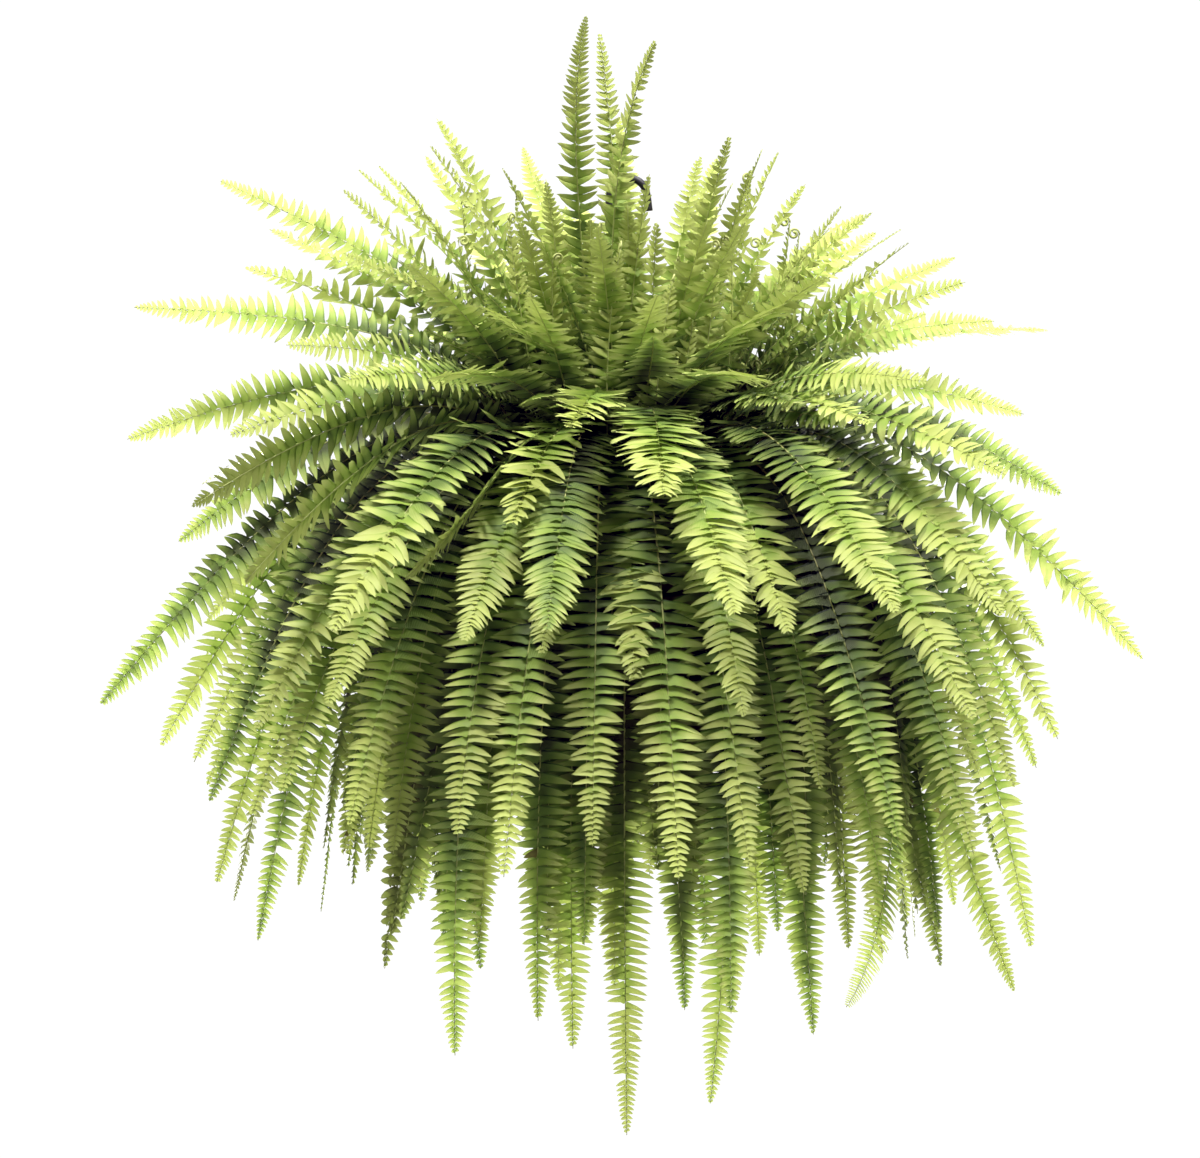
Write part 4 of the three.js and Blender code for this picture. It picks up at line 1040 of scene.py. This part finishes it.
def runner_pieces(rib):
    """Hair-like runners that hang from the crowns over the pot's rim."""
    skin = Skin()
    for i in range(RUNNER_COUNT):
        azimuth = 360 * i / RUNNER_COUNT + rng.uniform(-10, 10)
        start = at_azimuth(RIM_RING - 32, azimuth, SOIL_Z - 1)
        over = at_azimuth(LIP_RADIUS + 9, azimuth + rng.uniform(-5, 5), RIM_Z + rng.uniform(9, 16))
        length = rng.uniform(*RUNNER_LENGTH)
        drift = rng.uniform(-30, 30)
        middle = at_azimuth(LIP_RADIUS + rng.uniform(14, 34), azimuth + drift / 3, RIM_Z - length * 0.45)
        end = at_azimuth(LIP_RADIUS + rng.uniform(0, 40), azimuth + drift, RIM_Z - length)
        line = smooth_line([start, (start + over) / 2 + np.array([0, 0, 9]), over, middle, end], 12)
        line = line + 1.2 * np.sin(np.linspace(0, 16, len(line)))[:, None] * at_azimuth(1, azimuth + 90)
        tube(skin, line, np.linspace(*RUNNER_RADII, len(line)), 4, frond=(0.1, 0.5), life=(0.0, 0.35))
    piece = skin.make("runners", (rib,))
    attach(piece, "root")


# The basket and its hanger.
def drill(body, azimuths, ring, radius, low, high):
    """Cuts round holes through the wall between two heights, and applies the cut."""
    skin = Skin()
    low, high = low - HOLE_MARGIN, high + HOLE_MARGIN
    for azimuth in azimuths:
        place = at_azimuth(ring, azimuth)
        turned(skin, [(0, low), (radius, low), (radius, high), (0, high)], 24, centre=place[:2])
    cutter = skin.make("cutter", ())
    cut = body.modifiers.new("holes", "BOOLEAN")
    cut.object = cutter
    cut.solver = "EXACT"
    depsgraph = bpy.context.evaluated_depsgraph_get()
    mesh = bpy.data.meshes.new_from_object(body.evaluated_get(depsgraph))
    body.modifiers.clear()
    body.data = mesh
    bpy.data.objects.remove(cutter)


def pot_piece(plastic):
    """A thin tapered pot with a lip that turns down, a foot ring, drain holes and strand holes."""
    underside = RIM_Z - LIP_THICKNESS
    flare = POT_RADIUS - 1.5 - BASE_RADIUS
    rise = underside - POT_BASE_Z
    outside = [(BASE_RADIUS + flare * t, POT_BASE_Z + rise * t) for t in np.linspace(0, 1, 5)]
    profile = [
        (0, POT_FLOOR_Z),
        (BASE_RADIUS - FOOT_WIDTH, POT_FLOOR_Z),
        (BASE_RADIUS - FOOT_WIDTH + 2, POT_BASE_Z),
        *outside,
        (LIP_RADIUS - POT_WALL, underside),
        (LIP_RADIUS - POT_WALL, RIM_Z - LIP_SKIRT),
        (LIP_RADIUS, RIM_Z - LIP_SKIRT),
        (LIP_RADIUS, RIM_Z),
        (POT_RADIUS - POT_WALL, RIM_Z),
        (BASE_RADIUS - POT_WALL, POT_FLOOR_Z + POT_WALL),
        (0, POT_FLOOR_Z + POT_WALL),
    ]
    skin = Skin()
    turned(skin, rounded(profile, POT_ROUNDING), POT_STEPS)
    pot = skin.make("nursery_pot", (plastic,))
    drains = [360 * i / DRAIN_COUNT for i in range(DRAIN_COUNT)]
    drill(pot, drains, DRAIN_RING, DRAIN_RADIUS, POT_FLOOR_Z, POT_FLOOR_Z + POT_WALL)
    drill(pot, STRAND_AZIMUTHS, RIM_RING, HOLE_RADIUS, underside, RIM_Z)
    pot.data.set_sharp_from_angle(angle=math.radians(SHARP_ANGLE))
    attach(pot, "root")
    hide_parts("pot")


def soil_piece(soil, perlite):
    """A crumbly surface over the fill, with perlite and crumbs of soil."""
    skin = Skin()
    bottom = POT_FLOOR_Z + POT_WALL + GAP
    edge_low, edge_top = BASE_RADIUS - POT_WALL - 1, POT_RADIUS - POT_WALL - 3
    rings = [(edge_top * (1 - i / SOIL_RINGS), SOIL_Z) for i in range(SOIL_RINGS)]
    turned(skin, [(0, bottom), (edge_low, bottom), *rings, (0, SOIL_Z)], SOIL_STEPS)
    top = skin.points[0]
    x, y, z = top.T
    on_top = (np.abs(z - SOIL_Z) < 0.01) & (np.hypot(x, y) < edge_top - 1)
    bumps = np.sin(x * 0.21 + 2 * np.sin(y * 0.13)) + np.sin(y * 0.27 + x * 0.08)
    top[:, 2] += on_top * (bumps * 0.9 + rng.normal(0, 0.5, len(top)) - 0.8)
    for i in range(LUMP_COUNT):
        radius = rng.uniform(*LUMP_RADII)
        spot = at_azimuth(edge_top * math.sqrt(rng.uniform(0, 0.97)), rng.uniform(0, 360), SOIL_Z + 0.2)
        white = i % 4 == 0
        flat = 1.0 if white else rng.uniform(0.4, 0.8)
        lump = [(radius * out, radius * height * flat) for out, height in LUMP_OUTLINE]
        start = len(skin.points)
        turned(skin, lump, 6, 1 if white else 0)
        skin.points[start] = skin.points[start] * rng.uniform(0.8, 1.25, 3) + spot
    piece = skin.make("soil_surface", (soil, perlite))
    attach(piece, "root")
    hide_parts("soil")


def hook_piece(plastic):
    """Hook rod, hub and disc, moulded in one."""
    skin = Skin()
    tube(skin, smooth_line(hook_line(), 6), ROD_RADIUS, 20)
    bottom = DISC_TOP_Z - DISC_THICKNESS
    neck_top = DISC_TOP_Z + NECK_HEIGHT
    profile = [
        (0, bottom),
        (DISC_RADIUS, bottom),
        (DISC_RADIUS, DISC_TOP_Z),
        (NECK_RADIUS, DISC_TOP_Z),
        (NECK_RADIUS, neck_top),
        (HUB_RADIUS, neck_top + HUB_SHOULDER),
        (HUB_RADIUS, HUB_TOP_Z - HUB_SHOULDER),
        (ROD_RADIUS, HUB_TOP_Z),
        (0, HUB_TOP_Z),
    ]
    hub = Skin()
    turned(hub, rounded(profile, 1.2), 48)
    body = hub.make("hub", (plastic,))
    drill(body, STRAND_AZIMUTHS, STRAND_RING, HOLE_RADIUS, bottom, DISC_TOP_Z)
    body.data.set_sharp_from_angle(angle=math.radians(SHARP_ANGLE))
    rod = skin.make("hook_rod", (plastic,))
    for piece in (body, rod):
        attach(piece, "root")
        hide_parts("hook")


def strand_pieces(plastic):
    """Round strands that bend gently at the disc and at the rim, with a button at each end."""
    upper = DISC_TOP_Z + GAP
    lower = RIM_Z - LIP_THICKNESS - GAP - BUTTON_HEIGHT
    for i, azimuth in enumerate(STRAND_AZIMUTHS):
        skin = Skin()
        tube(skin, rounded(strand_corners(azimuth), 5.0, 7), STRAND_RADIUS, 12)
        for ring, base in ((STRAND_RING, upper), (RIM_RING, lower)):
            top = base + BUTTON_HEIGHT
            button = [(0, base), (BUTTON_RADIUS, base), (BUTTON_RADIUS, top), (0, top)]
            turned(skin, rounded(button, 0.9), 20, centre=at_azimuth(ring, azimuth)[:2])
        piece = skin.make(f"strand_{i + 1}_round", (plastic,))
        piece.data.set_sharp_from_angle(angle=math.radians(40))
        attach(piece, "root")
        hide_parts(f"strand_{i + 1}")


# Camera, light and floor.
def make_camera():
    data = bpy.data.cameras.new("camera")
    data.lens = CAMERA_LENS
    data.sensor_width = CAMERA_SENSOR
    camera = add_object("camera", data)
    elevation = math.radians(CAMERA_ELEVATION)
    back = Vector((0, -math.cos(elevation), math.sin(elevation)))
    camera.location = AIM + CAMERA_DISTANCE * back
    camera.rotation_mode = "QUATERNION"
    camera.rotation_quaternion = (-back).to_track_quat("-Z", "Y")
    bpy.context.scene.camera = camera


def make_lamp(name, place, size, power, color):
    data = bpy.data.lights.new(name, "AREA")
    data.shape = "DISK"
    data.size = size
    data.energy = power
    data.color = color
    light = add_object(name, data)
    light.location = place
    light.rotation_mode = "QUATERNION"
    light.rotation_quaternion = (AIM - Vector(place)).to_track_quat("-Z", "Y")


def make_world():
    """An even pale sky that lights the plant softly, and looks plain white itself."""
    world = bpy.data.worlds.new("pale_sky")
    world.use_nodes = True
    tree = world.node_tree
    tree.nodes.clear()
    output = tree.nodes.new("ShaderNodeOutputWorld")
    background = tree.nodes.new("ShaderNodeBackground")
    background.inputs["Color"].default_value = (1.0, 1.0, 1.0, 1.0)
    seen = tree.nodes.new("ShaderNodeLightPath")
    level = tree.nodes.new("ShaderNodeMapRange")
    level.inputs[3].default_value = SKY_LIGHT
    level.inputs[4].default_value = WHITE
    tree.links.new(seen.outputs["Is Camera Ray"], level.inputs[0])
    tree.links.new(level.outputs[0], background.inputs["Strength"])
    tree.links.new(background.outputs[0], output.inputs[0])
    bpy.context.scene.world = world


def make_floor():
    bpy.ops.mesh.primitive_plane_add(size=FLOOR_SIZE, location=(0, 0, FLOOR_Z))
    floor = bpy.context.active_object
    floor.name = "floor"
    floor.data.materials.append(floor_material())


make_camera()
make_world()
make_floor()
for lamp in LAMPS:
    make_lamp(*lamp)
view_settings = bpy.context.scene.view_settings
view_settings.view_transform = "Standard"
view_settings.look = "None"
view_settings.use_curve_mapping = True
view_settings.curve_mapping.black_level = BLACK_LEVEL

leaf_green, rib_tan, scale_brown = leaf_material(), rib_material(), scale_material()
pot_plastic, hanger_plastic = pot_material(), hanger_material()
plant_pieces(leaf_green, rib_tan, scale_brown)
inner_piece("inner_fronds", INNER_FRONDS, leaf_green, rib_tan)
inner_piece("young_fronds", YOUNG_FRONDS, leaf_green, rib_tan)
runner_pieces(rib_tan)
pot_piece(pot_plastic)
soil_piece(soil_material(), perlite_material())
hook_piece(hanger_plastic)
strand_pieces(hanger_plastic)
